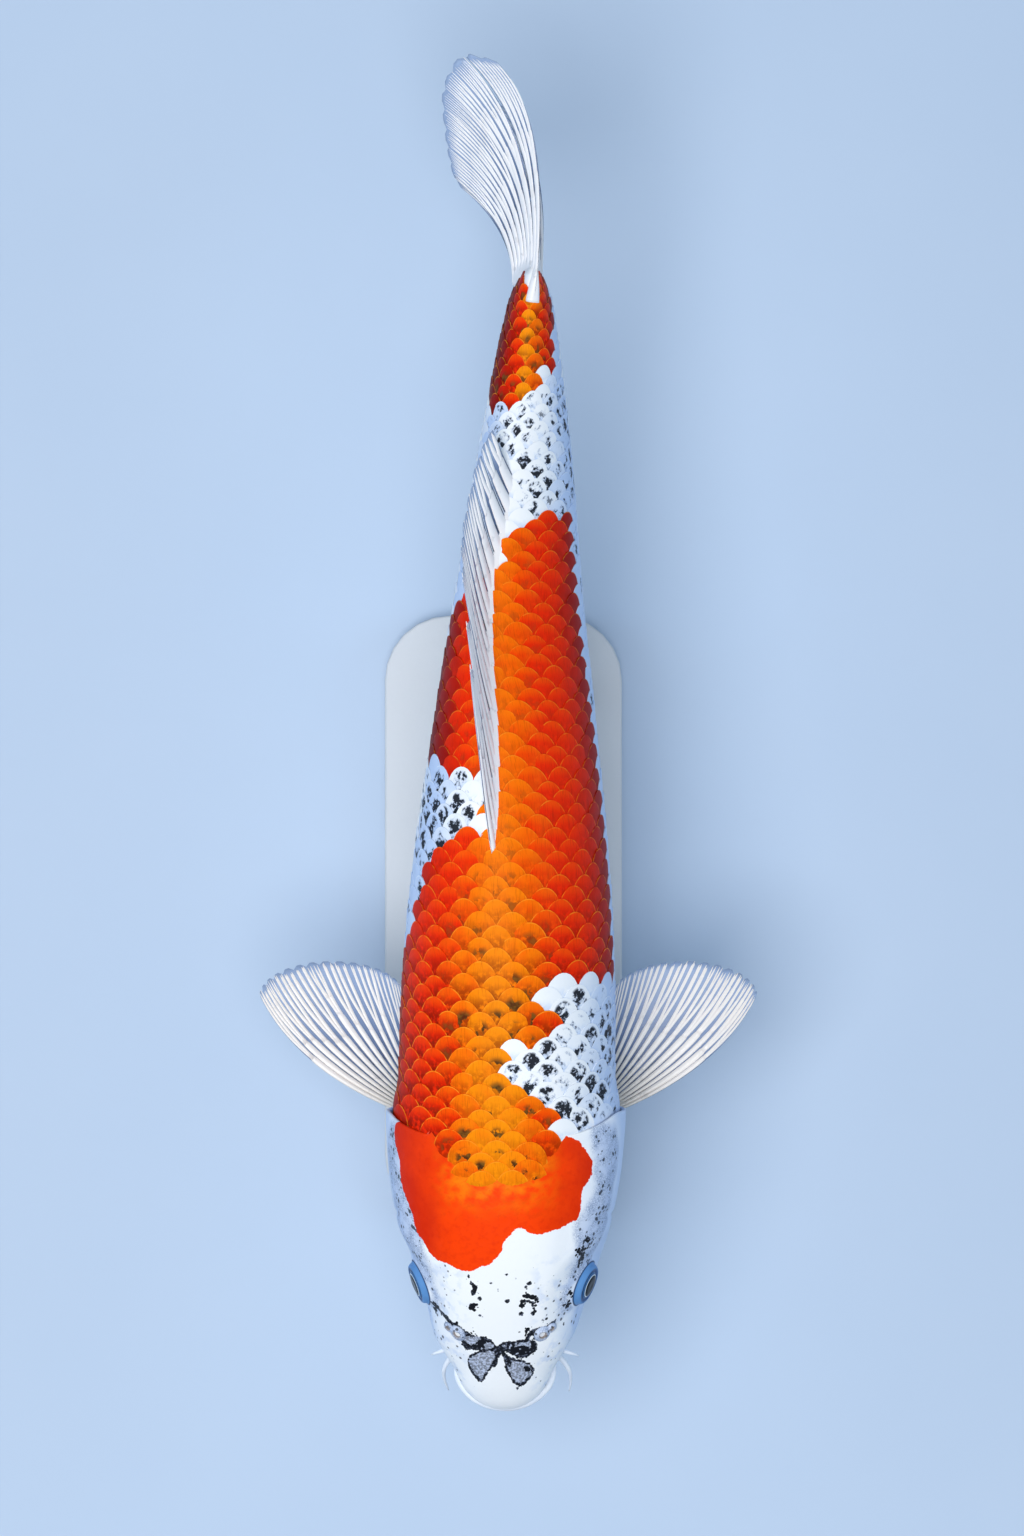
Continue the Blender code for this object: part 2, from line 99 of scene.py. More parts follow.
NOSTRIL_STATION, NOSTRIL_ANGLE = 0.0362, 35
NOSTRILS = ((0.0002, -2.5, 0.0022, 1.4), (0.0028, 5.0, 0.0014, 2.4))  # behind, out, size, lean of the flap
DORSAL_START, DORSAL_BASE = 0.2415, 0.168
DORSAL_LINE = ((0, -0.01), (0.1, 0.025), (0.35, 0.014), (0.53, -0.03), (0.76, -0.02), (0.9, 0.17), (1, 0.23))
PECTORAL_LENGTHS = (0.0322, 0.0152)
LOWER_LOBE = 0.93  # size of the tail's lower lobe beside the upper one
TAIL_EDGE_OUT = ((0.0, -0.0350), (0.3, -0.0385), (0.6, -0.0388), (0.8, -0.0310), (1.0, -0.0165))
TAIL_EDGE_BACK = ((0.0, 0.0490), (0.3, 0.0660), (0.6, 0.0870), (0.8, 0.0978), (1.0, 0.0945))
ROOT_SINK = 0.003  # how deep a fin's roots sit in the body
DORSAL_SWEEP, DORSAL_HEIGHT = (0.0875, -0.0625), (0.0200, -0.012)  # at the front, and change over the base
DORSAL_TILT = 0.028
PECTORAL_CENTRE, PECTORAL_FAN = (0.0797, 0.1835), 170  # of the ellipse of tips, and its degrees
PELVIC_START, PELVIC_BASE, PELVIC_ANGLE = 0.243, 0.010, 158
ANAL_START, ANAL_BASE = 0.383, 0.030
PECTORAL_RAYS, PELVIC_RAYS, ANAL_RAYS = 15, 9, 8
FEELERS = {  # centre line as station, out, up; radius; share of it left at the tip
    "long": ((
        (0.0250, 0.0205, -0.0130), (0.0215, 0.0250, -0.0160), (0.0160, 0.0280, -0.0215),
        (0.0105, 0.0282, -0.0290), (0.0055, 0.0272, -0.0365),
    ), 0.0015, 0.25),
    "short": ((
        (0.0275, 0.0230, -0.0050), (0.0258, 0.0280, -0.0062),
        (0.0246, 0.0312, -0.0085), (0.0238, 0.0326, -0.0120),
    ), 0.0011, 0.35),
}  # fmt: skip

# ---------------------------------------------------------------- markings, as (station, girth) in mm

HEAD_RED = (
    (132, -48), (128, -55), (121, -55), (113, -51), (104, -50), (96, -46), (89, -42), (82, -40),
    (78, -36), (71, -31), (68, -22), (65, -14), (67, -8), (69, -3), (73, 1), (79, 3), (82, 6),
    (85, 10), (82, 16), (83, 24), (86, 32), (89, 38), (98, 39), (102, 40), (106, 44), (113, 45),
    (119, 41), (124, 35), (126, 28), (138, 10), (138, -30),
)  # fmt: skip
FRONT_RED = (
    (92, 0), (100, 25), (120, 30), (127, 28), (131, 24), (136, 20), (140, 17), (143, 12), (146, 8),
    (149, 1), (154, -5), (158, 1), (163, 4), (166, 9), (165, 19), (167, 27), (173, 27), (180, 23),
    (188, 22), (190, 30), (188, 40), (191, 55), (190, 74), (195, 84), (226, 81), (270, 73),
    (314, 66), (358, 59), (389, 46), (395, 32), (396, 18), (390, 7), (382, 3), (371, -2),
    (340, -3), (300, -2), (262, -2), (259, -10), (256, -16), (257, -22), (252, -27), (250, -34),
    (243, -38), (230, -45), (215, -56), (205, -68), (185, -90), (150, -92), (134, -80),
    (125, -50), (105, -30),
)  # fmt: skip
LEFT_RED = (
    (362, -14), (356, -24), (345, -40), (330, -58), (300, -66), (288, -60), (284, -46), (286, -36),
    (283, -28), (281, -20), (281, -12), (284, -3), (330, -2), (360, -5),
)  # fmt: skip
TAIL_RED = (
    (441, -14), (444, -6), (448, 1), (450, 8), (450, 15), (457, 8), (460, 17), (468, 20),
    (477, 21), (500, 26), (504, 12), (489, 1), (503, -12), (500, -32), (480, -34), (458, -36),
    (444, -27),
)  # fmt: skip
SCALE_INK = (  # outline, strength
    (((131, 30), (136, 24), (142, 19), (150, 8), (157, 7), (163, 12), (167, 31), (173, 31),
      (180, 27), (186, 28), (186, 60), (175, 78), (150, 80), (134, 62), (128, 45)), 1.0),
    (((278, -8), (279, -30), (280, -48), (268, -60), (250, -64), (244, -46), (254, -26),
      (262, -8)), 1.0),
    (((400, 42), (397, 14), (408, 6), (425, -2), (436, -16), (445, -2), (449, 16), (455, 20),
      (452, 32), (430, 46)), 0.68),
)  # fmt: skip
WINGS = (  # the four wings of the mark on the snout
    ((36, -17), (36, -11), (34, -4), (30, -1), (29, -5), (29, -11), (30, -16)),
    ((25, -15), (28, -11), (30, -2), (24, -2), (18, -6), (14, -9), (17, -13), (21, -15)),
    ((32, 0), (33, 5), (34, 13), (33, 16), (29, 16), (26, 12), (26, 8), (28, 4)),
    ((28, 2), (26, 4), (23, 13), (18, 15), (15, 12), (12, 8), (16, 4), (22, 2)),
)
STROKES = (  # radius, then the points of the stroke
    (0.9, (35.5, -12), (38.5, -17.5), (42.5, -27), (44.5, -33)),
    (0.8, (34, 12), (38.5, 15), (40, 24)),
    (1.0, (22, -3), (27, -1), (31, 0), (27, 2), (22, 4)),
    (0.6, (79, 44), (78, 41), (74, 40), (69, 38)),
    (0.8, (60, -12)), (0.9, (55, -11)), (1.0, (53, -8)), (0.7, (50, -12)), (0.8, (45, -8)),
    (0.5, (59, -9)), (0.9, (52, 4)), (0.6, (64, 4)), (0.5, (62, 8)), (0.5, (60, -3)),
    (0.5, (57, 0)), (0.9, (60, 14)), (0.7, (58, 12)), (1.0, (46, 10)), (0.9, (46, 15)),
    (0.7, (52, 10), (51, 15), (47, 16)),
    (0.8, (11, 7)), (0.5, (40, 30)), (0.5, (36, 29)), (0.6, (63, -13)), (0.5, (48, -6)),
)  # fmt: skip
MOTTLES = (  # place, radius
    ((37, 11), 3.4), ((51, 13), 4.6), ((58, -11), 3.0), ((49, -11), 2.6), ((72, 39), 4.0),
    ((77, 42), 3.2), ((38, -14), 2.6), ((41, -21), 2.8), ((36, 15), 2.8), ((41, 21), 2.8),
    ((44, -29), 3.0), ((20, 12), 2.0), ((45, 30), 3.2), ((52, 33), 3.0), ((40, -30), 2.4),
)  # fmt: skip
FAR = 8.0  # how far from a marking its distance is worked out
WING_RIM, WING_RIM_INSET = 0.60, 0.45  # half width of the ink round a wing, and how far in it runs
CHEEK_NET = (
    (128, 46), (128, 62), (115, 68), (101, 63), (86, 60), (74, 56), (66, 56), (58, 34), (48, 30),
    (40, 34), (42, 26), (56, 29), (66, 33), (75, 37), (84, 36), (90, 40), (100, 47), (112, 47),
)  # fmt: skip

# ---------------------------------------------------------------- fixed tints

# The first tint is painted bluish shade in clouds on the sides of the face.
FACE_SHADE_BLUE, CHEEK_BLUE = (0.42, 0.54, 0.78), (0.34, 0.45, 0.70)
WING_DARK, WING_PALE, INK_GREY = (0.09, 0.11, 0.16), (0.44, 0.50, 0.66), (0.16, 0.18, 0.25)
# The second tint is painted shade down the sides of the cap.
CAP_TONE, CAP_SIDE_SHADE, CAP_EDGE = (0.72, 0.020, 0.001), (0.60, 0.014, 0.001), (0.42, 0.030, 0.035)
SOCKET_INSIDE, SOCKET_RING, SOCKET_LINE = (0.02, 0.07, 0.20), (0.11, 0.27, 0.55), (0.02, 0.05, 0.13)
# Painted shade in recesses: under the gill cover where the slit opens, between the lips and inside the
# nostrils.
RECESS_SHADE_BROWN = (0.30, 0.25, 0.22)
# Painted shade: the lowest crimson of the flank, and the dark red at a red scale's root, which also colours
# its radial streaks.
LOWEST_SHADE_RED, RED_SHADE_AND_STREAK = (0.17, 0.002, 0.001), (0.16, 0.005, 0.001)
# The last tint is a white scale's edge line, partly its own lighter edge and partly a painted highlight.
UMBER, OLIVE, RIM_WHITE_AND_HIGHLIGHT = (0.020, 0.010, 0.006), (0.16, 0.075, 0.012), (0.93, 0.94, 0.96)
BREAST_RAY, RAY_STREAK, RAY_JOINT = (0.97, 0.87, 0.77), (0.60, 0.62, 0.70), (0.45, 0.47, 0.52)
WEB_TIP = (0.36, 0.46, 0.66)
IRIS_STREAK, IRIS_EDGE, PUPIL = (0.06, 0.16, 0.34), (0.01, 0.03, 0.08), (0.002, 0.002, 0.003)
STEEL_GRAIN, PAINT_GRAIN, FLOOR_CLOUD = (0.42, 0.43, 0.45), (0.50, 0.52, 0.55), (0.9, 0.92, 0.95)
SKY_BLUE, SIDE_LIGHT_BLUE, WHITE_LIGHT = (0.58, 0.77, 1.0), (0.60, 0.80, 1.0), (1.0, 1.0, 1.0)

# ---------------------------------------------------------------- settings


def length_property(name, description, default):
    return FloatProperty(
        name=name, description=description, default=default, min=0.0, unit="LENGTH", precision=5
    )


def colour_property(name, description, default):
    return FloatVectorProperty(
        name=name, description=description, default=default, size=3, subtype="COLOR", min=0.0, max=1.0
    )


class KoiCoatSettings(bpy.types.PropertyGroup):
    """Sizes of the skin and the scales."""

    coat_depth: length_property("Coat depth", "How far the skin lies under the scales' top", 0.0009)
    head_depth: length_property("Head depth", "How far the bare skin lies inside the solids", 0.0002)
    rise: length_property("Rise", "Height from a scale's middle to its free edge", 0.0007)
    crown: length_property("Crown", "How much a scale's middle stands over its sides", 0.0003)
    wall: length_property("Wall", "Depth of the wall under a scale's edge", 0.0008)
    reach: FloatProperty(
        name="Reach", description="Half a scale's length, in scale spacings", default=0.93, min=0.5
    )
    spread: FloatProperty(
        name="Spread", description="Half a scale's width, in row spacings", default=1.08, min=0.5
    )
    steps: IntProperty(name="Steps", description="Faces along a scale", default=6, min=4, max=10)


class KoiFinSettings(bpy.types.PropertyGroup):
    """Sizes of the fins."""

    ray_height: length_property("Ray height", "Half a ray's thickness at its root", 0.0009)
    tip_height: length_property("Tip height", "Half a ray's thickness at its tip", 0.00022)
    web_thickness: length_property("Web", "Thickness of the web between rays", 0.00024)
    web_alpha: FloatProperty(
        name="Web opacity", description="How much the web hides", default=0.76, min=0.0, max=1.0
    )


class KoiColourSettings(bpy.types.PropertyGroup):
    """Colours of the fish and its stand."""

    white: colour_property("White", "Pearly white skin", (0.91, 0.91, 0.91))
    # Painted blue reflection of water and painted shade on the flanks' white, and painted shade at white
    # scales' roots.
    shade_blue: colour_property("Side blue", "Bluish white of the flanks", (0.54, 0.65, 0.86))
    cap_red: colour_property("Cap", "Orange red of the bare head", (0.98, 0.052, 0.001))
    # Gold along the back: partly painted light where light falls on the back, and the painted glow at free
    # ends of scales near the back.
    ridge_gold: colour_property("Ridge", "Orange gold along the back", (1.0, 0.28, 0.003))
    red: colour_property("Red", "Red of the upper flank", (0.93, 0.024, 0.001))
    # Painted shade: the crimson down the flank is a darker copy of the red.
    flank_shade_red: colour_property("Deep red", "Crimson of the lower flank", (0.34, 0.004, 0.001))
    # A scale's free-edge line, partly its own lighter edge and partly a painted highlight.
    rim_gold_and_highlight: colour_property("Rim", "Fine line along a scale's free edge", (1.0, 0.33, 0.02))
    ink: colour_property("Ink", "Black of the markings", (0.010, 0.011, 0.015))
    net_blue: colour_property("Net", "Blue grey inside the markings", (0.22, 0.29, 0.44))
    ray: colour_property("Ray", "Cream white of the fin rays", (0.94, 0.89, 0.86))
    ray_root: colour_property("Ray root", "Beige of the breast fins' roots", (0.62, 0.55, 0.46))
    web: colour_property("Web", "Clear bluish web between the rays", (0.09, 0.14, 0.28))
    iris: colour_property("Iris", "Blue grey of the eye", (0.020, 0.070, 0.18))
    ring: colour_property("Ring", "Silver ring round the pupil", (0.72, 0.82, 0.88))
    paint: colour_property("Paint", "Satin paint of the stand", (0.60, 0.61, 0.63))
    steel: colour_property("Steel", "Brushed steel of the rods", (0.56, 0.57, 0.59))


class KoiStageSettings(bpy.types.PropertyGroup):
    """The camera, floor and light."""

    camera_height: length_property("Camera height", "Height of the camera above the floor", 2.75)
    view_height: length_property("View height", "Length of the view at the body's level", 0.678)
    floor_colour: colour_property("Floor", "Pale floor", (0.50, 0.60, 0.74))
    key_power: FloatProperty(name="Key", description="Power of the overhead light", default=37.0, min=0.0)
    fill_power: FloatProperty(name="Fill", description="Power of each side light", default=8.0, min=0.0)


# ---------------------------------------------------------------- curves and the body's surface


def rising(low, high, value):
    """0 below low, 1 above high, and the cubic 3t^2 - 2t^3 between them."""
    t = np.clip((value - low) / (high - low), 0.0, 1.0)
    return t * t * (3 - 2 * t)


def falling(low, high, value):
    """1 below low and 0 above high, smooth between."""
    return 1 - rising(low, high, value)


def smooth_curve(rows, at, root=False):
    """Values on a curve through (position, value) rows: cubic Hermite pieces whose slopes are the
    central differences of the rows. With root, it is drawn over the square root of the position."""
    x, y = np.array(rows, float).T
    at = np.asarray(at, float)
    if root:
        x, at = np.sqrt(x), np.sqrt(np.maximum(at, 0.0))
    slope = np.gradient(y, x)
    i = np.clip(np.searchsorted(x, at) - 1, 0, len(x) - 2)
    width = x[i + 1] - x[i]
    t = (at - x[i]) / width
    return (
        (2 * t**3 - 3 * t**2 + 1) * y[i]
        + (t**3 - 2 * t**2 + t) * width * slope[i]
        + (3 * t**2 - 2 * t**3) * y[i + 1]
        + (t**3 - t**2) * width * slope[i + 1]
    )


def bell(offset, width):
    """The bell curve exp(-(offset / width)^2)."""
    return np.exp(-((offset / width) ** 2))


def profile(station, column):
    return smooth_curve([(row[0], row[column]) for row in PROFILE], station, root=True)


def axis_points(station):
    """The body's axis: straight back, swinging to the fish's left by a power of the station."""
    station = np.asarray(station, float)
    swing = BEND * (np.maximum(station, 0.0) / BODY_LENGTH) ** BEND_POWER
    return np.stack((swing, SNOUT_Y + station, np.full_like(station, AXIS_HEIGHT)), axis=-1)


def rolled(station, x, z):
    """Offsets from the axis, turned about it by the section's bank."""
    bank = np.radians(smooth_curve(ROLL, station))
    across, up = np.broadcast_arrays(x * np.cos(bank) - z * np.sin(bank), x * np.sin(bank) + z * np.cos(bank))
    return np.stack((across, np.zeros_like(across), up), axis=-1)


def section(station, angle, grow, flared):
    """A superellipse section: signed powers of the angle's sine and cosine, times the half width
    and the reach above or below the widest level, plus grow. flared adds the gill covers' width."""
    half = profile(station, 1) + GILL_FLARE * rising(FLARE_START, GILL_END, station) * flared
    middle = profile(station, 4)
    across, along = np.sin(angle), np.cos(angle)
    reach = np.where(along > 0, profile(station, 2) - middle, middle - profile(station, 3))
    power = 2 / smooth_curve(ROUNDNESS, station)
    x = np.sign(across) * np.abs(across) ** power * (half + grow)
    z = np.sign(along) * np.abs(along) ** power * (reach + grow) + middle
    return x, z


def body_points(station, angle, grow=0.0, flared=0.0):
    """Points on the body: the axis plus the banked section. The angle runs from 0 on the back, over
    the fish's left, to pi on the belly."""
    x, z = section(station, angle, grow, flared)
    return axis_points(station) + rolled(station, x, z)


CHART_END = 0.5035
CHART_STATIONS = np.linspace(0.002, CHART_END, 400)
CHART_SHARES = np.linspace(0.0, 1.0, 161)


def circle(count):
    """Evenly spaced angles round a circle."""
    return np.linspace(0, 2 * math.pi, count, endpoint=False)


def running(steps):
    """Running sums along the last axis, from 0."""
    return np.concatenate((np.zeros((*steps.shape[:-1], 1)), np.cumsum(steps, axis=-1)), axis=-1)


def from_back(angle):
    """A section angle as degrees from the middle of the back, the same over both sides."""
    return np.degrees(np.abs((angle + math.pi) % (2 * math.pi) - math.pi))


def girth_tables():
    """At each chart station, the angles at equal shares of the half girth, and the half girth."""
    angle = np.linspace(0.0, math.pi, 721)
    ring = body_points(CHART_STATIONS[:, None], angle)
    length = running(np.linalg.norm(np.diff(ring, axis=1), axis=-1))
    angles = [np.interp(CHART_SHARES * row[-1], row, angle) for row in length]
    return np.array(angles), length[:, -1]


CHART_ANGLES, CHART_GIRTHS = girth_tables()


def half_girth(station):
    return np.interp(station, CHART_STATIONS, CHART_GIRTHS)


def angle_at(station, share):
    """The section angle at a share of the half girth, from 0 on the back to 1 on the belly, and
    negative over the fish's right: bilinear in the table, mirrored past the belly."""
    size = np.abs(share)
    folded = np.where(size > 1, 2 - size, size)
    row = np.interp(station, CHART_STATIONS, np.arange(len(CHART_STATIONS)))
    column = folded * (len(CHART_SHARES) - 1)
    i = np.clip(row.astype(int), 0, len(CHART_STATIONS) - 2)
    j = np.clip(column.astype(int), 0, len(CHART_SHARES) - 2)
    u, v = row - i, column - j
    low = CHART_ANGLES[i, j] * (1 - v) + CHART_ANGLES[i, j + 1] * v
    high = CHART_ANGLES[i + 1, j] * (1 - v) + CHART_ANGLES[i + 1, j + 1] * v
    angle = low * (1 - u) + high * u
    return np.where(share < 0, -1.0, 1.0) * np.where(size > 1, 2 * math.pi - angle, angle)


def unit(vectors):
    return vectors / np.maximum(np.linalg.norm(vectors, axis=-1, keepdims=True), 1e-12)


def on_body(station, share, height):
    """Points height above the trunk: the surface point plus the unit normal, which is the cross
    product of a small step round the section and a small step along the body."""

    def at(s, f):
        angle = angle_at(s, f)
        return body_points(s, angle, 0.0, trunk_flare(s, angle) * flare_window(angle))

    s = np.clip(station, 0.003, 0.5025)
    along = at(s + 0.0005, share) - at(s - 0.0005, share)
    across = at(s, share + 0.003) - at(s, share - 0.003)
    return at(s, share) + unit(np.cross(across, along)) * height[..., None]


# ---------------------------------------------------------------- markings


def closed_curve(outline):
    """A closed Catmull-Rom curve through the outline's points, with three points to a span."""
    p = np.array(outline, float)
    before, after, later = np.roll(p, 1, 0), np.roll(p, -1, 0), np.roll(p, -2, 0)
    t = (np.arange(3) / 3)[:, None, None]
    curve = 0.5 * (
        2 * p
        + (after - before) * t
        + (2 * before - 5 * p + 4 * after - later) * t**2
        + (3 * p - before - 3 * after + later) * t**3
    )
    return curve.transpose(1, 0, 2).reshape(-1, 2)


def segment_distance(place, a, b):
    """Distance from each place to each segment from a to b."""
    d = b - a
    share = np.einsum("nmk,mk->nm", place[:, None] - a, d) / np.maximum((d * d).sum(1), 1e-9)
    nearest = a + np.clip(share, 0, 1)[..., None] * d
    return np.linalg.norm(place[:, None] - nearest, axis=-1)


def places_near(corners, station, girth):
    """All places in mm, and the numbers of those that lie within FAR of the corners' box."""
    place = np.stack((station, girth), axis=-1).reshape(-1, 2) / MM
    close = (place > corners.min(0) - FAR) & (place < corners.max(0) + FAR)
    return place, np.flatnonzero(close.all(axis=1))


def inside(outline, station, girth):
    """Signed distance in mm to an outline, positive inside: the distance to its nearest segment,
    with the sign of the winding test. It is held between -FAR and FAR."""
    a = closed_curve(outline)
    b = np.roll(a, -1, 0)
    place, close = places_near(a, station, girth)
    found = np.full(len(place), -FAR)
    rise = np.where(b[:, 1] == a[:, 1], 1e-9, b[:, 1] - a[:, 1])
    for part in np.array_split(close, max(1, len(close) // 4000)):
        p = place[part]
        crosses = (a[:, 1] > p[:, 1:]) != (b[:, 1] > p[:, 1:])
        at = a[:, 0] + (p[:, 1:] - a[:, 1]) / rise * (b[:, 0] - a[:, 0])
        odd = (crosses & (p[:, :1] < at)).sum(axis=1) % 2 == 1
        nearest = segment_distance(p, a, b).min(axis=1)
        found[part] = np.clip(np.where(odd, nearest, -nearest), -FAR, FAR)
    return found.reshape(np.shape(station))


def stroke(path, radius, station, girth):
    """Signed distance in mm to a stroke: its radius less the distance to its path."""
    p = np.array(path, float)
    place, close = places_near(p, station, girth)
    ends = (p[:-1], p[1:]) if len(p) > 1 else (p, p)
    found = np.full(len(place), -FAR)
    found[close] = radius - segment_distance(place[close], *ends).min(axis=1)
    return np.maximum(found, -FAR).reshape(np.shape(station))


def union(distances):
    return np.maximum.reduce(list(distances))


def patch_red(station, girth):
    return union(inside(outline, station, girth) for outline in (FRONT_RED, LEFT_RED, TAIL_RED))


def head_marks(station, girth, covered):
    """Signed distances in mm of the head's markings. The red runs on where the body's patches are,
    except on the covered points. A wing has an inked rim, and the two rear wings are mottled."""
    wing = union(inside(outline, station, girth) for outline in WINGS)
    ink = union(stroke(points, radius, station, girth) for radius, *points in STROKES)
    mottle = union(stroke([at], radius, station, girth) for at, radius in MOTTLES)
    rear = union(inside(WINGS[i], station, girth) for i in (0, 2))
    behind = np.where(covered, -FAR, patch_red(station, girth))
    return {
        "red": np.maximum(inside(HEAD_RED, station, girth), behind),
        "wing": wing,
        "ink": np.maximum(ink, WING_RIM - np.abs(wing - WING_RIM_INSET)),
        "mottle": np.maximum(mottle, rear + WING_RIM),
        "net": inside(CHEEK_NET, station, np.abs(girth)),
    }


# ---------------------------------------------------------------- shapes


class Shape:
    """Points, faces as index arrays with one array per number of corners, and values by name."""

    def __init__(self, points, faces, values):
        self.points, self.faces, self.values = points, faces, values


def joined(shapes):
    """One shape from several. A value that a shape lacks is 0 there."""
    names = sorted({name for shape in shapes for name in shape.values})
    faces, start = [], 0
    for shape in shapes:
        faces += [array + start for array in shape.faces]
        start += len(shape.points)
    values = {
        name: np.concatenate([s.values.get(name, np.zeros(len(s.points))) for s in shapes])
        for name in names
    }
    return Shape(np.concatenate([shape.points for shape in shapes]), faces, values)


def outward(points, *faces):
    """The faces, all of them turned when the volume that they enclose is negative. The volume is
    summed over triangles, each with its tetrahedron to the origin."""
    fans = [array[:, (0, i, i + 1)] for array in faces for i in range(1, array.shape[1] - 1)]
    a, b, c = points[np.concatenate(fans)].transpose(1, 0, 2)
    turned = np.einsum("ij,ij->", a, np.cross(b, c)) < 0
    return [array[:, ::-1] if turned else array for array in faces]


def grid_faces(rows, columns):
    """The quads of a grid of points, and the points of its border in order."""
    index = np.arange(rows * columns).reshape(rows, columns)
    quads = np.stack((index[:-1, :-1], index[:-1, 1:], index[1:, 1:], index[1:, :-1]), axis=-1)
    border = np.concatenate((index[0, :-1], index[:-1, -1], index[-1, :0:-1], index[:0:-1, 0]))
    return quads.reshape(-1, 4), border


def tubes(points, **values):
    """Closed tubes from points[tube, row, around]: quads between rows, and a fan of triangles to the
    middle of each end ring. Values are given at the points and averaged at the ends."""
    count, rows, around, _ = points.shape
    index = np.arange(count * rows * around).reshape(count, rows, around)
    step = np.roll(index, -1, axis=2)
    quads = np.stack((index[:, :-1], step[:, :-1], step[:, 1:], index[:, 1:]), axis=-1).reshape(-1, 4)
    first = count * rows * around + np.arange(count)[:, None] + np.zeros((1, around), int)
    front = np.stack((step[:, 0], index[:, 0], first), axis=-1).reshape(-1, 3)
    back = np.stack((index[:, -1], step[:, -1], first + count), axis=-1).reshape(-1, 3)
    ends = np.concatenate((points[:, 0].mean(axis=1), points[:, -1].mean(axis=1)))
    flat = np.concatenate((points.reshape(-1, 3), ends))
    whole = {}
    for name, value in values.items():
        full = np.broadcast_to(value, (count, rows, around))
        whole[name] = np.concatenate((full.reshape(-1), full[:, 0].mean(axis=1), full[:, -1].mean(axis=1)))
    return Shape(flat, outward(flat, quads, front, back), whole)


def sheet(top, bottom, **values):
    """A thin closed sheet: the grids top[row, column] and bottom, and a wall of quads round their
    border."""
    rows, columns = top.shape[:2]
    upper, border = grid_faces(rows, columns)
    after, under = np.roll(border, -1), rows * columns
    wall = np.stack((after, border, border + under, after + under), axis=-1)
    quads = np.concatenate((upper, upper[:, ::-1] + under, wall))
    flat = np.concatenate((top.reshape(-1, 3), bottom.reshape(-1, 3)))
    whole = {key: np.tile(value.reshape(-1), 2) for key, value in values.items()}
    return Shape(flat, outward(flat, quads), whole)


def tube_along(path, radius, around):
    """A round tube: circles of the given radii, square to the path, in a frame that leans on +Z."""
    tangent = unit(np.gradient(path, axis=0))
    side = unit(np.cross(tangent, np.array((0.03, 0.02, 1.0))))
    up = np.cross(side, tangent)
    turn = circle(around)[None, :, None]
    ring = side[:, None] * np.cos(turn) + up[:, None] * np.sin(turn)
    points = path[:, None] + ring * np.asarray(radius)[:, None, None]
    return tubes(points[None])


def mesh_from(name, shape, bake_map=None):
    """A mesh filled as whole arrays: points, faces, the bake map at the corners, and the values."""
    mesh = bpy.data.meshes.new(name)
    corners = np.concatenate([array.reshape(-1) for array in shape.faces])
    sizes = np.concatenate([np.full(len(array), array.shape[1]) for array in shape.faces])
    mesh.vertices.add(len(shape.points))
    mesh.vertices.foreach_set("co", shape.points.astype(np.float32).ravel())
    mesh.loops.add(len(corners))
    mesh.loops.foreach_set("vertex_index", corners.astype(np.int32))
    mesh.polygons.add(len(sizes))
    mesh.polygons.foreach_set("loop_start", (np.cumsum(sizes) - sizes).astype(np.int32))
    if bake_map is not None:
        layer = mesh.uv_layers.new(name="OFBake")
        layer.uv.foreach_set("vector", bake_map.astype(np.float32).ravel())
    mesh.update(calc_edges=True)
    for key, value in shape.values.items():
        mesh.attributes.new(key, "FLOAT", "POINT").data.foreach_set("value", value.astype(np.float32))
    if mesh.validate(verbose=False):
        raise RuntimeError(f"{name} has faulty faces")
    return mesh


def add_piece(name, mesh, material, slot, *replaced):
    """A finished piece: its mesh is shaded smooth, and it rides with the frame."""
    mesh.shade_smooth()
    mesh.materials.append(material)
    obj = bpy.data.objects.new(name, mesh)
    bpy.context.scene.collection.objects.link(obj)
    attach(obj, "root")
    if replaced:
        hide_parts(*replaced)
    return obj


# ---------------------------------------------------------------- shader nodes


class Signal:
    """An output socket. Arithmetic on it lays a Math node and gives that node's output."""

    def __init__(self, graph, socket):
        self.graph, self.socket = graph, socket

    def __add__(self, other):
        return self.graph.math("ADD", self, other)

    def __sub__(self, other):
        return self.graph.math("SUBTRACT", self, other)

    def __rsub__(self, other):
        return self.graph.math("SUBTRACT", other, self)

    def __mul__(self, other):
        return self.graph.math("MULTIPLY", self, other)

    def __truediv__(self, other):
        return self.graph.math("DIVIDE", self, other)


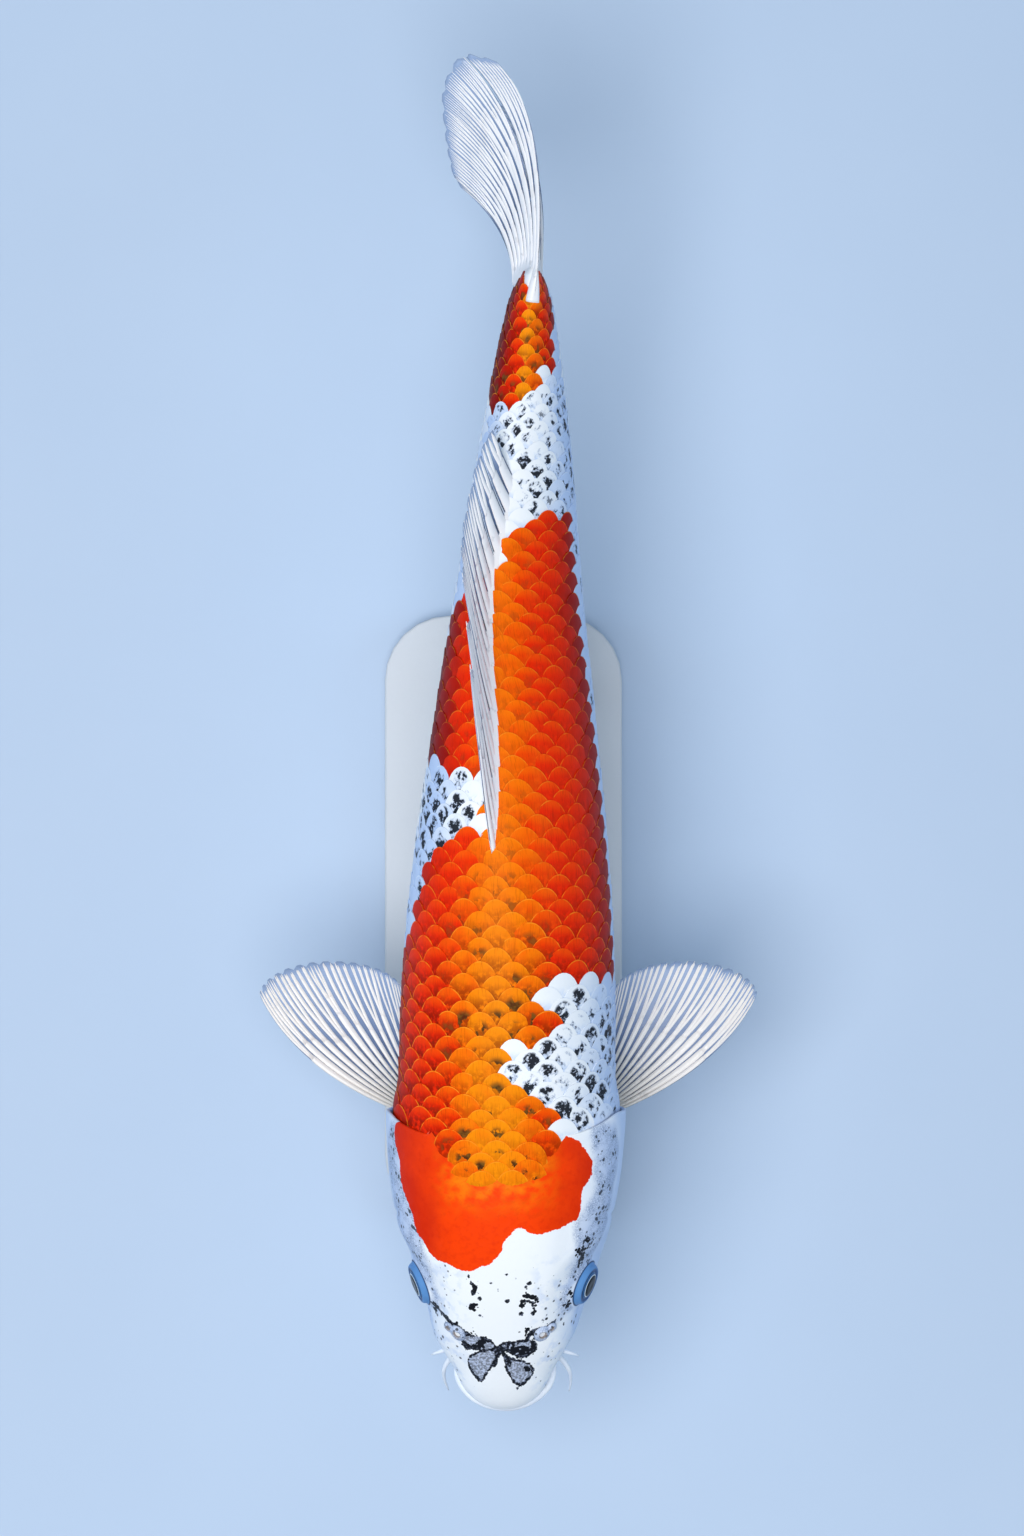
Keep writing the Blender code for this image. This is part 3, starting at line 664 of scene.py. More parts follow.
class Graph:
    """A short way to lay shader nodes. Each method adds one node and gives its output as a Signal."""

    def __init__(self, tree):
        self.tree = tree

    def put(self, socket, value):
        if isinstance(value, Signal):
            self.tree.links.new(value.socket, socket)
        elif socket.type == "RGBA":
            socket.default_value = (*value, 1.0)
        else:
            socket.default_value = value

    def add(self, kind, inputs, output=0, **settings):
        node = self.tree.nodes.new(kind)
        for key, value in settings.items():
            setattr(node, key, value)
        for key, value in inputs.items():
            self.put(node.inputs[key], value)
        return Signal(self, node.outputs[output])

    def math(self, operation, a, b=0.0):
        return self.add("ShaderNodeMath", {0: a, 1: b}, operation=operation)

    def step(self, low, high, value):
        """0 below low and 1 above high, smooth between. low may be the larger."""
        flipped = low > high
        inputs = {"Value": value, "From Min": min(low, high), "From Max": max(low, high)}
        inputs.update({"To Min": 1.0 if flipped else 0.0, "To Max": 0.0 if flipped else 1.0})
        return self.add("ShaderNodeMapRange", inputs, interpolation_type="SMOOTHSTEP")

    def mix(self, share, a, b):
        return self.add("ShaderNodeMix", {0: share, 6: a, 7: b}, 2, data_type="RGBA")

    def place(self):
        return self.add("ShaderNodeTexCoord", {}, "Object")

    def value(self, name):
        return self.add("ShaderNodeAttribute", {}, "Fac", attribute_name=name)

    def noise(self, vector, scale, detail=2.0, roughness=0.5):
        inputs = {"Vector": vector, "Scale": scale, "Detail": detail, "Roughness": roughness}
        return self.add("ShaderNodeTexNoise", inputs, "Fac")

    def combine(self, x, y, z):
        return self.add("ShaderNodeCombineXYZ", {0: x, 1: y, 2: z})

    def group(self, name, **inputs):
        tree = bpy.data.node_groups.get(name) or GROUPS[name](name)
        return self.add("ShaderNodeGroup", inputs, node_tree=tree)

    def bump(self, height, distance, strength):
        inputs = {"Height": height, "Distance": distance, "Strength": strength}
        return self.add("ShaderNodeBump", inputs)


def new_group(name, output, inputs):
    """An empty node group with named sockets: its graph, its inputs and its one output socket."""
    tree = bpy.data.node_groups.new(name, "ShaderNodeTree")
    for key, kind in inputs.items():
        tree.interface.new_socket(name=key, in_out="INPUT", socket_type=f"NodeSocket{kind}")
    tree.interface.new_socket(name=output, in_out="OUTPUT", socket_type="NodeSocketFloat")
    graph = Graph(tree)
    source = tree.nodes.new("NodeGroupInput").outputs
    return graph, [Signal(graph, source[key]) for key in inputs], tree.nodes.new("NodeGroupOutput").inputs[0]


def ragged_group(name):
    """A mask from a signed distance in mm, with a ragged edge: noise in two sizes is added to the
    distance before it is cut at zero."""
    inputs = {"Vector": "Vector", "Distance": "Float", "Raggedness": "Float"}
    graph, (vector, distance, raggedness), result = new_group(name, "Mask", inputs)
    coarse = graph.noise(vector, 260.0) - 0.5
    fine = graph.noise(vector, 900.0) - 0.5
    moved = distance + (coarse + fine * 0.7) * raggedness
    graph.put(result, graph.step(-0.16, 0.16, moved))
    return graph.tree


def speckle_group(name):
    """Small spots: where the distance to a cell's centre is under a limit that noise varies."""
    inputs = {"Vector": "Vector", "Scale": "Float", "Amount": "Float"}
    graph, (vector, scale, amount), result = new_group(name, "Mask", inputs)
    cells = graph.add("ShaderNodeTexVoronoi", {"Vector": vector, "Scale": scale}, "Distance")
    limit = graph.step(0.35, 0.65, graph.noise(vector, 170.0, 3.0)) * amount
    graph.put(result, graph.step(-0.06, 0.06, limit - cells))
    return graph.tree


def netting_group(name):
    """A fine net of lines: where the distance to the border between two cells is small."""
    graph, (vector, scale), result = new_group(name, "Line", {"Vector": "Vector", "Scale": "Float"})
    inputs = {"Vector": vector, "Scale": scale}
    cells = graph.add("ShaderNodeTexVoronoi", inputs, "Distance", feature="DISTANCE_TO_EDGE")
    graph.put(result, graph.step(0.16, 0.04, cells))
    return graph.tree


GROUPS = {"Ragged Edge": ragged_group, "Speckle": speckle_group, "Netting": netting_group}


def new_material(name, roughness=0.35, coat=0.0, alpha=1.0, metallic=0.0, specular=0.5):
    """A material with one Principled shader. Values that are the same all over sit on its sockets."""
    material = bpy.data.materials.new(name)
    material.use_nodes = True
    shader = material.node_tree.nodes["Principled BSDF"].inputs
    shader["Roughness"].default_value = roughness
    shader["Metallic"].default_value = metallic
    shader["Specular IOR Level"].default_value = specular
    shader["Coat Weight"].default_value = coat
    shader["Coat Roughness"].default_value = 0.12
    shader["Alpha"].default_value = alpha
    return material, Graph(material.node_tree), shader


def flesh_white(graph, colours, vector):
    """Pearly white on the back, bluish on the flanks, white again under the belly, with clouds. The
    flanks' blue is a painted reflection of blue water and painted shade on the white. The value side
    is the share of the half girth, from 0 on the back to 1 under the belly."""
    cloud = (graph.noise(vector, 90.0, 3.0) - 0.5) * 0.14
    side = graph.value("side") + cloud
    # Painted blue reflection of water and painted shade down the flanks, white again under the belly.
    blue = graph.step(0.17, 0.42, side) * graph.step(0.82, 0.54, side)
    return graph.mix(blue, colours.white, colours.shade_blue)


def koi_red(graph, colours, vector, ridge):
    """Red of the body: gold on the ridge, through orange red, to crimson low on the flank. The gold on
    the ridge is partly painted light, and the crimson low on the flank is painted shade.
    """
    cloud = (graph.noise(vector, 120.0, 3.0) - 0.5) * 0.09
    place = graph.value("side") + cloud
    upper = graph.mix(graph.step(0.01, 0.16, place), ridge, colours.red)
    # Painted shade: darker red down the flank, darkest lowest.
    flank = graph.mix(graph.step(0.23, 0.44, place), upper, colours.flank_shade_red)
    return graph.mix(graph.step(0.44, 0.72, place), flank, LOWEST_SHADE_RED)


def netted_cheeks(graph, colours, vector, base):
    """Bluish cheeks with a fine net of darker lines, stippled inside. Also the lines alone."""
    mix, step, cheek = graph.mix, graph.step, graph.step(-3.0, 2.5, graph.value("net"))
    net = cheek * step(0.30, 0.62, graph.noise(vector, 150.0, 3.0))
    lines = graph.group("Netting", Vector=vector, Scale=900.0) * net
    base = mix(cheek * 0.45, base, CHEEK_BLUE)
    base = mix(lines * 0.75, base, colours.net_blue)
    stipple = step(0.50, 0.60, graph.noise(vector, 1500.0, 2.0)) * net
    return mix(stipple * 0.7, base, colours.net_blue), lines


def head_specks(graph, colours, vector, base):
    """Fine dark specks on the cheeks, and fewer, larger ones on the rest of the face."""
    for scale, amount, where in (
        (420.0, 0.44, graph.step(-1.0, 3.0, graph.value("net"))),
        (300.0, 0.27, graph.value("face")),
    ):
        spots = graph.group("Speckle", Vector=vector, Scale=scale, Amount=where * amount)
        base = graph.mix(spots * 0.85, base, colours.ink)
    return base


def snout_mark(graph, colours, vector, base):
    """The mark on the snout: its grey wings, its mottles, and the strokes of ink, all grained."""
    mix, step, grain = graph.mix, graph.step, graph.noise(vector, 1000.0, 3.0)
    wing = graph.group("Ragged Edge", Vector=vector, Distance=graph.value("wing"), Raggedness=1.6)
    base = mix(wing * 0.85, base, mix(step(0.42, 0.62, grain), WING_DARK, WING_PALE))
    spread = step(-1.2, 1.2, graph.value("mottle")) * 0.85
    mottle = graph.group("Speckle", Vector=vector, Scale=600.0, Amount=spread)
    base = mix(mottle, base, colours.ink)
    ink = graph.group("Ragged Edge", Vector=vector, Distance=graph.value("ink"), Raggedness=2.2)
    return mix(ink, base, mix(step(0.50, 0.72, grain), colours.ink, INK_GREY))


def red_cap(graph, colours, vector, base):
    """The red cap: gold towards the nape, mottled deeper all over, and deeper towards its sides as
    painted shade.
    """
    mix, step, noise, side = graph.mix, graph.step, graph.noise, graph.value("side")
    gold = step(0.33, 0.68, noise(vector, 210.0, 4.0)) * graph.value("nape")
    cap = mix(gold, colours.cap_red, colours.ridge_gold)
    cap = mix(step(0.45, 0.75, noise(vector, 420.0, 4.0)) * 0.35, cap, CAP_TONE)
    # Painted shade down the sides of the cap.
    cap = mix(step(0.17, 0.36, side + noise(vector, 70.0, 3.0) * 0.16) * 0.85, cap, CAP_SIDE_SHADE)
    cap = mix(step(0.28, 0.36, side), cap, CAP_EDGE)
    red = graph.group("Ragged Edge", Vector=vector, Distance=graph.value("red"), Raggedness=1.9)
    return mix(red, base, cap)


def eye_socket(graph, base):
    """The eye's socket, by the distance in mm from the eye's axis: dark inside, a blue ring, and a
    thin dark line round it."""
    mix, step, ring = graph.mix, graph.step, graph.value("orbit")
    socket = mix(step(7.2, 8.6, ring), SOCKET_INSIDE, SOCKET_RING)
    socket = mix(step(9.9, 10.4, ring), socket, SOCKET_LINE)
    return mix(step(11.0, 10.5, ring), base, socket)


def skin_material(colours):
    """Bare skin: pearly white with painted bluish shade in clouds on the sides of the face, under the
    markings of the head. Painted dark shade fills the gill slit, the mouth and the nostrils.
    """
    material, graph, shader = new_material("koi_skin", coat=0.02, specular=0.07)
    vector, noise = graph.place(), graph.noise
    # Painted bluish shade in clouds on the sides of the face.
    face_shade = graph.step(0.48, 0.66, noise(vector, 170.0, 4.0)) * graph.value("face")
    base = graph.mix(face_shade * 0.40, flesh_white(graph, colours, vector), FACE_SHADE_BLUE)
    base, lines = netted_cheeks(graph, colours, vector, base)
    base = head_specks(graph, colours, vector, base)
    base = snout_mark(graph, colours, vector, base)
    base = red_cap(graph, colours, vector, base)
    base = eye_socket(graph, base)
    # Painted shade in recesses: under the gill cover, between the lips and inside the nostrils.
    graph.put(shader["Base Color"], graph.mix(graph.value("dark"), base, RECESS_SHADE_BROWN))
    graph.put(shader["Roughness"], noise(vector, 300.0) * 0.2 + 0.28)
    relief = noise(vector, 420.0, 4.0) + lines * -0.6
    graph.put(shader["Normal"], graph.bump(relief, 0.00025, 0.5))
    return material


class ScalePlace:
    """Where a point lies on its scale: how far across and along the unit disc, and its radius there.
    Also the scale's own seed, and a fine noise over the whole fish."""

    def __init__(self, graph):
        self.vector = graph.place()
        self.across, self.along, self.seed = (graph.value(name) for name in ("across", "along", "seed"))
        squares = self.across * self.across + self.along * self.along
        self.radius = graph.math("SQRT", squares)
        self.fine = graph.noise(self.vector, 430.0, 3.0)


def free_edge_and_highlight(graph, at):
    """The fine broken line along a scale's free edge, partly its own lighter edge and partly a painted
    highlight, fainter where the coat is calm.
    """
    line = graph.step(0.935, 0.960, at.radius) * graph.step(1.0, 0.985, at.radius)
    return line * graph.step(0.36, 0.66, graph.noise(at.vector, 260.0)) * (1.0 - graph.value("calm") * 0.40)


def red_scale(graph, colours, at, line):
    """A red scale: painted shade at its root, a painted glow at its free end near the back, radial
    streaks, and blots of brown.
    """
    mix, step, noise = graph.mix, graph.step, graph.noise
    red = koi_red(graph, colours, at.vector, mix(graph.value("gold"), colours.red, colours.ridge_gold))
    # A darker copy of the red: painted shade at the root, and the colour of the radial streaks.
    dark = mix(0.80, red, RED_SHADE_AND_STREAK)
    # Painted shade at the root, where the scale in front overlaps it; weaker near the back and where the coat
    # is calm.
    root = step(0.85, 0.10, at.along) * step(0.28, 0.58, at.fine)
    root = root * step(1.5, 0.2, graph.value("light")) * (1.0 - graph.value("calm") * 0.70)
    red = mix(root, red, dark)
    # A painted glow of light at the free end of scales near the back.
    near_back = step(0.36, 0.06, graph.value("side")) * step(0.45, 0.95, at.along)
    red = mix(near_back * 0.55, red, mix(0.45, red, colours.ridge_gold))
    streak = noise(graph.combine(at.across * 11.0, at.along, at.seed), 1.6, 3.0)
    red = mix(step(0.50, 0.70, streak) * 0.30, red, dark)
    blot = noise(graph.combine(at.across, at.along, at.seed * 3.0), 1.7, 4.0)
    blot = step(0.50, 0.56, blot) * graph.value("brown") * step(0.72, 0.35, at.radius)
    red = mix(blot * 0.95, red, mix(step(0.35, 0.65, at.fine), UMBER, OLIVE))
    # The free-edge line, partly the scale's own lighter edge and partly a painted highlight.
    return mix(line * 0.75, red, colours.rim_gold_and_highlight)


def white_scale(graph, colours, at, line):
    """A white scale: painted bluish shade at its root, a white border that is partly a painted
    highlight, and on the marked ones a leaf of mottled black, which is an ellipse of noise in the
    middle of the part that shows."""
    mix, step, strength = graph.mix, graph.step, graph.value("ink")
    # Painted bluish shade at the root, where the scale in front overlaps it.
    root_shade = step(0.55, -0.05, at.along) * step(0.25, 0.65, at.fine)
    white = mix(root_shade * 0.75, flesh_white(graph, colours, at.vector), colours.shade_blue)
    # The white edge line, partly the scale's own edge and partly a painted highlight.
    white = mix(line * 0.7, white, RIM_WHITE_AND_HIGHLIGHT)
    u, v = at.across / 0.62, (at.along - 0.30) / 0.60
    from_middle = u * u + v * v
    leaf = step(1.05, 0.60, from_middle) * step(0.02, 0.12, strength)
    slant = graph.math("SINE", at.seed * 5.0) * at.along
    shifted = graph.combine(at.across + slant * 0.5, at.along * 1.1, at.seed)
    blot = graph.noise(shifted, 1.9, 4.0, 0.62) + strength * 0.15 - from_middle * 0.10
    white = mix(step(0.48, 0.60, blot) * leaf * 0.6, white, colours.net_blue)
    black = step(0.57, 0.60, blot) * leaf * step(0.34, 0.42, graph.noise(at.vector, 620.0, 4.0))
    return mix(black * 0.97, white, colours.ink)


def scale_material(colours):
    """A scale, red or white as a whole, with growth rings in its relief."""
    material, graph, shader = new_material("koi_scales", roughness=0.44, specular=0.03)
    at = ScalePlace(graph)
    line = free_edge_and_highlight(graph, at)
    white, red = white_scale(graph, colours, at, line), red_scale(graph, colours, at, line)
    graph.put(shader["Base Color"], graph.mix(graph.value("red"), white, red))
    relief = graph.math("SINE", at.radius * 70.0) * 0.05 + graph.noise(at.vector, 700.0, 3.0)
    graph.put(shader["Normal"], graph.bump(relief, 0.00014, 0.4))
    return material


# ---------------------------------------------------------------- skin


COVER_ROWS, RIM_ROWS, UNDER_ROWS, TRUNK_ROWS = 230, 4, 3, 100
COVER_THICKNESS, COVER_LAP, SLIT_STEP = 0.0020, 0.0065, 0.0008
EYE_UPWARDS, EYE_FORWARDS = 15, 21  # degrees that an eye looks up and ahead
EYE_GAP, EYE_FLATTENING = 0.0001, 0.0024
EYE_OPENING = 50.0  # degrees from the eye's axis to the edge of its opening
PLATE_GROOVE, JAW_GROOVE, SKULL_DIP = (0.0007, 0.0016), (0.0008, 0.0022), (0.0007, 9)  # depth, width
ORBIT_FAR = 30.0  # the distance from an eye's axis, in mm, that stands for anything further


def skin_angles():
    """Angles round a section, close together over the back and flanks, wider under the belly."""
    back = np.linspace(-100.0, 100.0, 220, endpoint=False)
    belly = np.linspace(100.0, 260.0, 50, endpoint=False)
    return np.radians(np.concatenate((back, belly)))


def gill_edge(angle):
    """Where the gill cover ends: furthest back at mid flank, drawn forward to the nape and throat.
    Also how open the slit is, from 0 on the nape and the throat to 1 on the flank."""
    turn = from_back(angle)
    nape, throat = falling(36, 78, turn), rising(118, 172, turn)
    edge = GILL_END - 0.001 - 0.0085 * nape - 0.050 * throat
    return edge, rising(35, 43, turn) * falling(158, 172, turn)


def trunk_flare(station, angle):
    """The share of the gill cover's flare that the trunk keeps right behind it."""
    edge, opening = gill_edge(angle)
    closed = falling(0, 0.022, station - edge) * (1 - opening)
    return closed + 0.5 * falling(0, 0.016, station - edge) * opening


def flare_window(angle):
    """The flare is left out on the nape."""
    return rising(34, 64, from_back(angle))


def end_to_end(parts):
    """Triples of arrays, each spread to one shape, joined row after row."""
    spread = [np.broadcast_arrays(*part) for part in parts]
    return [np.concatenate(arrays) for arrays in zip(*spread)]


def skin_rows(angle, depth, head_depth):
    """Station, growth and flare of every skin point. A row of points runs back over the gill cover,
    round its rim, forward under it, and back again over the trunk. Where the slit is closed it
    runs straight on, and the two courses are mixed by how open the slit is."""
    edge, opening = (value[None] for value in gill_edge(angle))

    def closed_depth(at):
        nape = rising(0.092, 0.116, at) * falling(26, 42, from_back(angle))
        return head_depth + (depth - head_depth) * nape

    def counted(count):
        return np.arange(1, count + 1)[:, None]

    cover = edge * (counted(COVER_ROWS) / COVER_ROWS) ** 1.18
    turn = counted(RIM_ROWS) / RIM_ROWS * math.pi
    opened = end_to_end((
        (edge + COVER_THICKNESS / 2 * np.sin(turn), COVER_THICKNESS / 2 * (np.cos(turn) - 1), 1.0),
        (edge - COVER_LAP * (counted(UNDER_ROWS) / UNDER_ROWS), -COVER_THICKNESS, 1.0),
        (edge - COVER_LAP - SLIT_STEP, -COVER_THICKNESS, 0.70),
        (edge - COVER_LAP, -depth, 0.50),
    ))  # fmt: skip
    along = edge + counted(len(opened[0])) * SLIT_STEP / 2
    slit = [a + (b - a) * opening for a, b in zip((along, -closed_depth(along), 1.0), opened)]
    start = slit[0][-1:]
    station = start + (STALK_END - 0.0008 - start) * (counted(TRUNK_ROWS) / TRUNK_ROWS) ** 1.1
    settle = rising(0.0, 0.012, station - start) * (1 - opening) + opening
    first = closed_depth(start)
    trunk = (station, -first - (depth - first) * settle, trunk_flare(station, angle))
    station, grow, flared = end_to_end(((cover, -closed_depth(cover), 1.0), slit, trunk))
    return station, grow, flared * flare_window(angle)


def eye_frame(side):
    """An eye's centre, and its unit axis, which looks out and up."""
    station = np.array(EYE_STATION)
    centre = axis_points(station) + rolled(station, side * EYE_OUT, EYE_UP)
    up, ahead = math.radians(EYE_UPWARDS), math.radians(EYE_FORWARDS)
    out = side * math.cos(up) * math.cos(ahead)
    return centre, rolled(station, out, math.sin(up)) - np.array((0, math.cos(up) * math.sin(ahead), 0))


def ball_radius(turn):
    """An eyeball's radius at an angle from its axis: its front is flattened as a bell curve."""
    return EYE_RADIUS - EYE_GAP - EYE_FLATTENING * bell(turn, 40)


def shape_sockets(points):
    """Round each eye the skin is moved along lines from the eye's centre: inside the opening it
    sinks under the ball, then it rises to a soft ring, then it returns to the head. Also each
    point's distance in mm from the nearer eye's axis."""
    nearest = np.full(points.shape[:2], ORBIT_FAR)
    for _, side in SIDES:
        centre, axis = eye_frame(side)
        ray = points - centre
        distance = np.maximum(np.linalg.norm(ray, axis=-1), 1e-9)
        turn = np.degrees(np.arccos(np.clip(ray @ axis / distance, -1, 1)))
        past = turn - EYE_OPENING
        ring = ball_radius(turn) - 0.0010 + 0.0021 * rising(-6, 4, past) + 0.0004 * bell(past - 8, 8)
        share = falling(12, 56, past) * falling(0.022, 0.028, distance)
        wanted = ring * share + distance * (1 - share)
        points = centre + ray * (wanted / distance)[..., None]
        from_axis = np.where(turn < 115, wanted * np.sin(np.radians(turn)) / MM, ORBIT_FAR)
        nearest = np.minimum(nearest, from_axis)
    return points, nearest


def shape_head(station, angle, points):
    """Soft relief of the head, along its normals: a groove in front of the gill cover's plate, one
    behind the jaw corner, and a shallow dip along each side of the skull."""
    turn = from_back(angle)
    across = np.roll(points, -1, axis=1) - np.roll(points, 1, axis=1)
    normal = unit(np.cross(across, np.gradient(points, axis=0)))
    low = turn - 90
    plate = bell(station - (0.088 - 0.00012 * low - 0.000003 * low**2), PLATE_GROOVE[1])
    plate = plate * rising(52, 66, turn) * falling(140, 155, turn)
    jaw = bell(station - (0.030 + 0.0003 * (turn - 110)), JAW_GROOVE[1])
    jaw = jaw * rising(92, 108, turn) * falling(150, 165, turn)
    skull = bell(turn - 38, SKULL_DIP[1])
    skull = skull * rising(0.045, 0.07, station) * falling(0.085, 0.11, station)
    depth = PLATE_GROOVE[0] * plate + JAW_GROOVE[0] * jaw + SKULL_DIP[0] * skull
    inner = np.arange(len(points))[:, None] < COVER_ROWS - 5
    return points - normal * (depth * inner)[..., None]


def ring_girths(points):
    """Signed girth of each point: the length round its row from angle zero, the short way."""
    start = np.argmin(np.abs(skin_angles()))
    turned = np.roll(points, -start, axis=1)
    closed = np.concatenate((turned, turned[:, :1]), axis=1)
    length = running(np.linalg.norm(np.diff(closed, axis=1), axis=-1))
    length, total = length[:, :-1], length[:, -1:]
    return np.roll(np.where(length > total / 2, length - total, length), start, axis=1)


def body_shape(coat):
    """The skin of head, trunk and tail stalk as one tube, with the values that colour it. The rows
    just past the gill cover's run round its rim and under it, and are painted dark as shade where the
    slit opens; a line of painted shade also runs between the lips."""
    angle = skin_angles()
    station, grow, flared = skin_rows(angle, coat.coat_depth, coat.head_depth)
    points = body_points(station, angle, grow, flared)
    girth = ring_girths(points)
    points, orbit = shape_sockets(shape_head(station, angle, points))
    past, opening = np.arange(len(station))[:, None] - COVER_ROWS, gill_edge(angle)[1]
    # Painted shade under the gill cover where the slit opens.
    inner = opening * (0.85 * rising(2, 4, past) - 0.5 * rising(8, 10, past))
    inner = inner * falling(0.134, 0.146, station)
    size = np.abs(girth)
    share = size / size.max(axis=1, keepdims=True)
    face = falling(0.060, 0.078, station) * rising(0.010, 0.022, size)
    # Painted shade in the crease between the lips.
    mouth = bell(section(station, angle, grow, flared)[1] - MOUTH_LEVEL, 0.0010)
    mouth = mouth * falling(0.016, 0.023, station)
    return tubes(
        points[None],
        side=share * (0.25 + 0.75 * rising(0.006, 0.045, station)),
        nape=rising(0.085, 0.112, station) * falling(0.012, 0.034, size),
        face=face * (1 - 0.85 * rising(0.55, 0.70, share)),
        dark=np.maximum(inner, mouth),
        orbit=orbit,
        **head_marks(station, girth, (past < 6) & (opening > 0.4)),
    )


def plain_values(count):
    """Values of flesh with no marking on it."""
    values = dict.fromkeys(("red", "wing", "ink", "mottle", "net"), np.full(count, -FAR))
    return {**values, "side": np.full(count, 0.25), "orbit": np.full(count, ORBIT_FAR)}


LIPS = (  # middle and reach of an ellipse: along the body, out, up; then the lip's radius
    (0.0187, 0.0202 - LIP_RADIUS, 0.0238 - LIP_RADIUS, -0.0125, 0.0020, LIP_RADIUS),
    (0.0212, 0.0180, 0.0204, -0.0184, 0.0016, 0.0025),
)


def lip_shape(middle, ahead, out, level, rise, radius):
    """A lip: a tube along an ellipse round the snout, thinning into the corners of the mouth."""
    turn = np.radians(np.linspace(-18, 198, 60))
    station = middle - ahead * np.sin(turn)
    path = axis_points(station) + rolled(station, out * np.cos(turn), level + rise * np.sin(turn))
    return tube_along(path, radius * (0.35 + 0.45 * rising(-0.35, 0.45, np.sin(turn))), 14)


def feeler_shape(side, kind):
    """A feeler: a tube along a smooth curve through its points, thinning evenly to its tip."""
    points, radius, tip = FEELERS[kind]
    knots = np.linspace(0, 1, len(points))
    t = np.linspace(0, 1, 28)
    station, out, up = (smooth_curve(list(zip(knots, column)), t) for column in zip(*points))
    path = axis_points(station) + rolled(station, side * out, up)
    swell = 1 + 0.5 * falling(0, 0.25, t)
    return tube_along(path, radius * (1 - (1 - tip) * t) * swell, 10)


NOSTRIL_CUP = (  # out, up, painted shade inside the cup
    (1.75, -0.40, 0.0), (1.45, 0.10, 0.0), (1.20, 0.55, 0.0), (1.05, 0.90, 0.1),
    (0.92, 1.00, 0.3), (0.76, 0.80, 0.6), (0.66, 0.30, 0.9), (0.60, -0.40, 1.0),
)  # fmt: skip


def nostril_shape(side, behind, out, size, lean):
    """A nostril: a small cup turned about the skin's normal, its rim raised on one side as a flap.
    The profile runs up the outside, over the rim and down the inside, which is painted dark as shade."""
    station = np.array(NOSTRIL_STATION + behind)
    angle = np.array(side * math.radians(NOSTRIL_ANGLE + out))
    at = body_points(station, angle)
    along = unit(body_points(station + 0.001, angle) - body_points(station - 0.001, angle))
    across = unit(body_points(station, angle + 0.01) - body_points(station, angle - 0.01))
    normal = np.cross(across, along)
    wide, high, dark = np.array(NOSTRIL_CUP).T[..., None]
    turn = circle(24)
    flap = 1 + 0.9 * np.maximum(0, np.cos(turn - lean)) ** 2
    up = high * np.where(high > 0, flap, 1.0) * 0.42
    ring = along * np.sin(turn)[:, None] * 1.15 + across * np.cos(turn)[:, None]
    points = at + size * (ring * wide[..., None] + normal * up[..., None])
    # dark is painted shade down the inside of the cup.
    return tubes(points[None], dark=dark, net=2.5 + 0 * dark)


def build_skin(context):
    coat, colours = context.scene.koi_coat, context.scene.koi_colours
    pieces = [lip_shape(*lip) for lip in LIPS]
    for _, side in SIDES:
        pieces += [feeler_shape(side, kind) for kind in FEELERS]
        pieces += [nostril_shape(side, *nostril) for nostril in NOSTRILS]
    for piece in pieces:
        piece.values = {**plain_values(len(piece.points)), **piece.values}
    nodes = ["head", "upper_lip", "lower_jaw", "trunk_front", "trunk_middle", "trunk_rear", "tail_stalk"]
    for part in ("gill_cover", "nostril", "barbel_long", "barbel_short"):
        nodes += [f"{part}_left", f"{part}_right"]
    shape = joined([body_shape(coat), *pieces])
    add_piece("koi_skin", mesh_from("koi_skin", shape), skin_material(colours), "skin", *nodes)


# ---------------------------------------------------------------- scales

ROWS_ABOVE, ROWS_BELOW = 10, 9  # rows over and under the lateral line
SIZE_RANGE, TWIST, LIFT, SLIDE = (0.95, 1.07), 0.07, 0.00007, 0.035  # how scales differ
SHOWING = 0.42  # how far behind its middle a scale's showing part lies, in scale spacings
TOP_DISC, WALL_RING, BASE_DISC = 0.42, 0.475, 0.045  # radii in a cell of the bake map
EDGE_ANGLE = 40  # edges of a scale sharper than this stay sharp
ROW_BANDS = (("back", 3, 99), ("belly", -99, 2))  # name, first and last row
COLUMN_BANDS = (("front", -1, 14), ("middle", 14, 28), ("rear", 28, 99))  # name, column before, last
SPACING = (  # station, mm between scales
    (0.09, 7.6), (0.125, 9.4), (0.17, 10.6), (0.20, 10.8), (0.30, 9.8), (0.40, 8.8), (0.505, 7.6),
)  # fmt: skip
COAT_START = (  # girth in mm, station in mm where the scales begin
    (0, 98), (10, 102), (17, 108), (29, 115), (36, 121), (42, 125), (50, 125), (62, 130), (110, 131),
    (140, 128), (165, 118), (190, 108),
)  # fmt: skip
COUNT_STATIONS = np.linspace(0.09, CHART_END, 800)
COUNTS = running(np.diff(COUNT_STATIONS) / (smooth_curve(SPACING, COUNT_STATIONS[1:]) * MM))


def row_share(row, station):
    """The share of the half girth at a row counted up from the lateral line, which is at one half.
    Rows run closer together near the back. Towards the tail fewer rows fit, so that the upper
    ones run into the back fin one after another."""
    above = ROWS_ABOVE - 4 * rising(0.23, 0.43, station)
    below = ROWS_BELOW - 3 * rising(0.25, 0.45, station)
    up = 1 - row / above
    upper = up * (0.77 + 0.23 * np.abs(up)) * 0.5
    return np.where(row >= 0, upper, 0.5 - 0.5 * row / below)


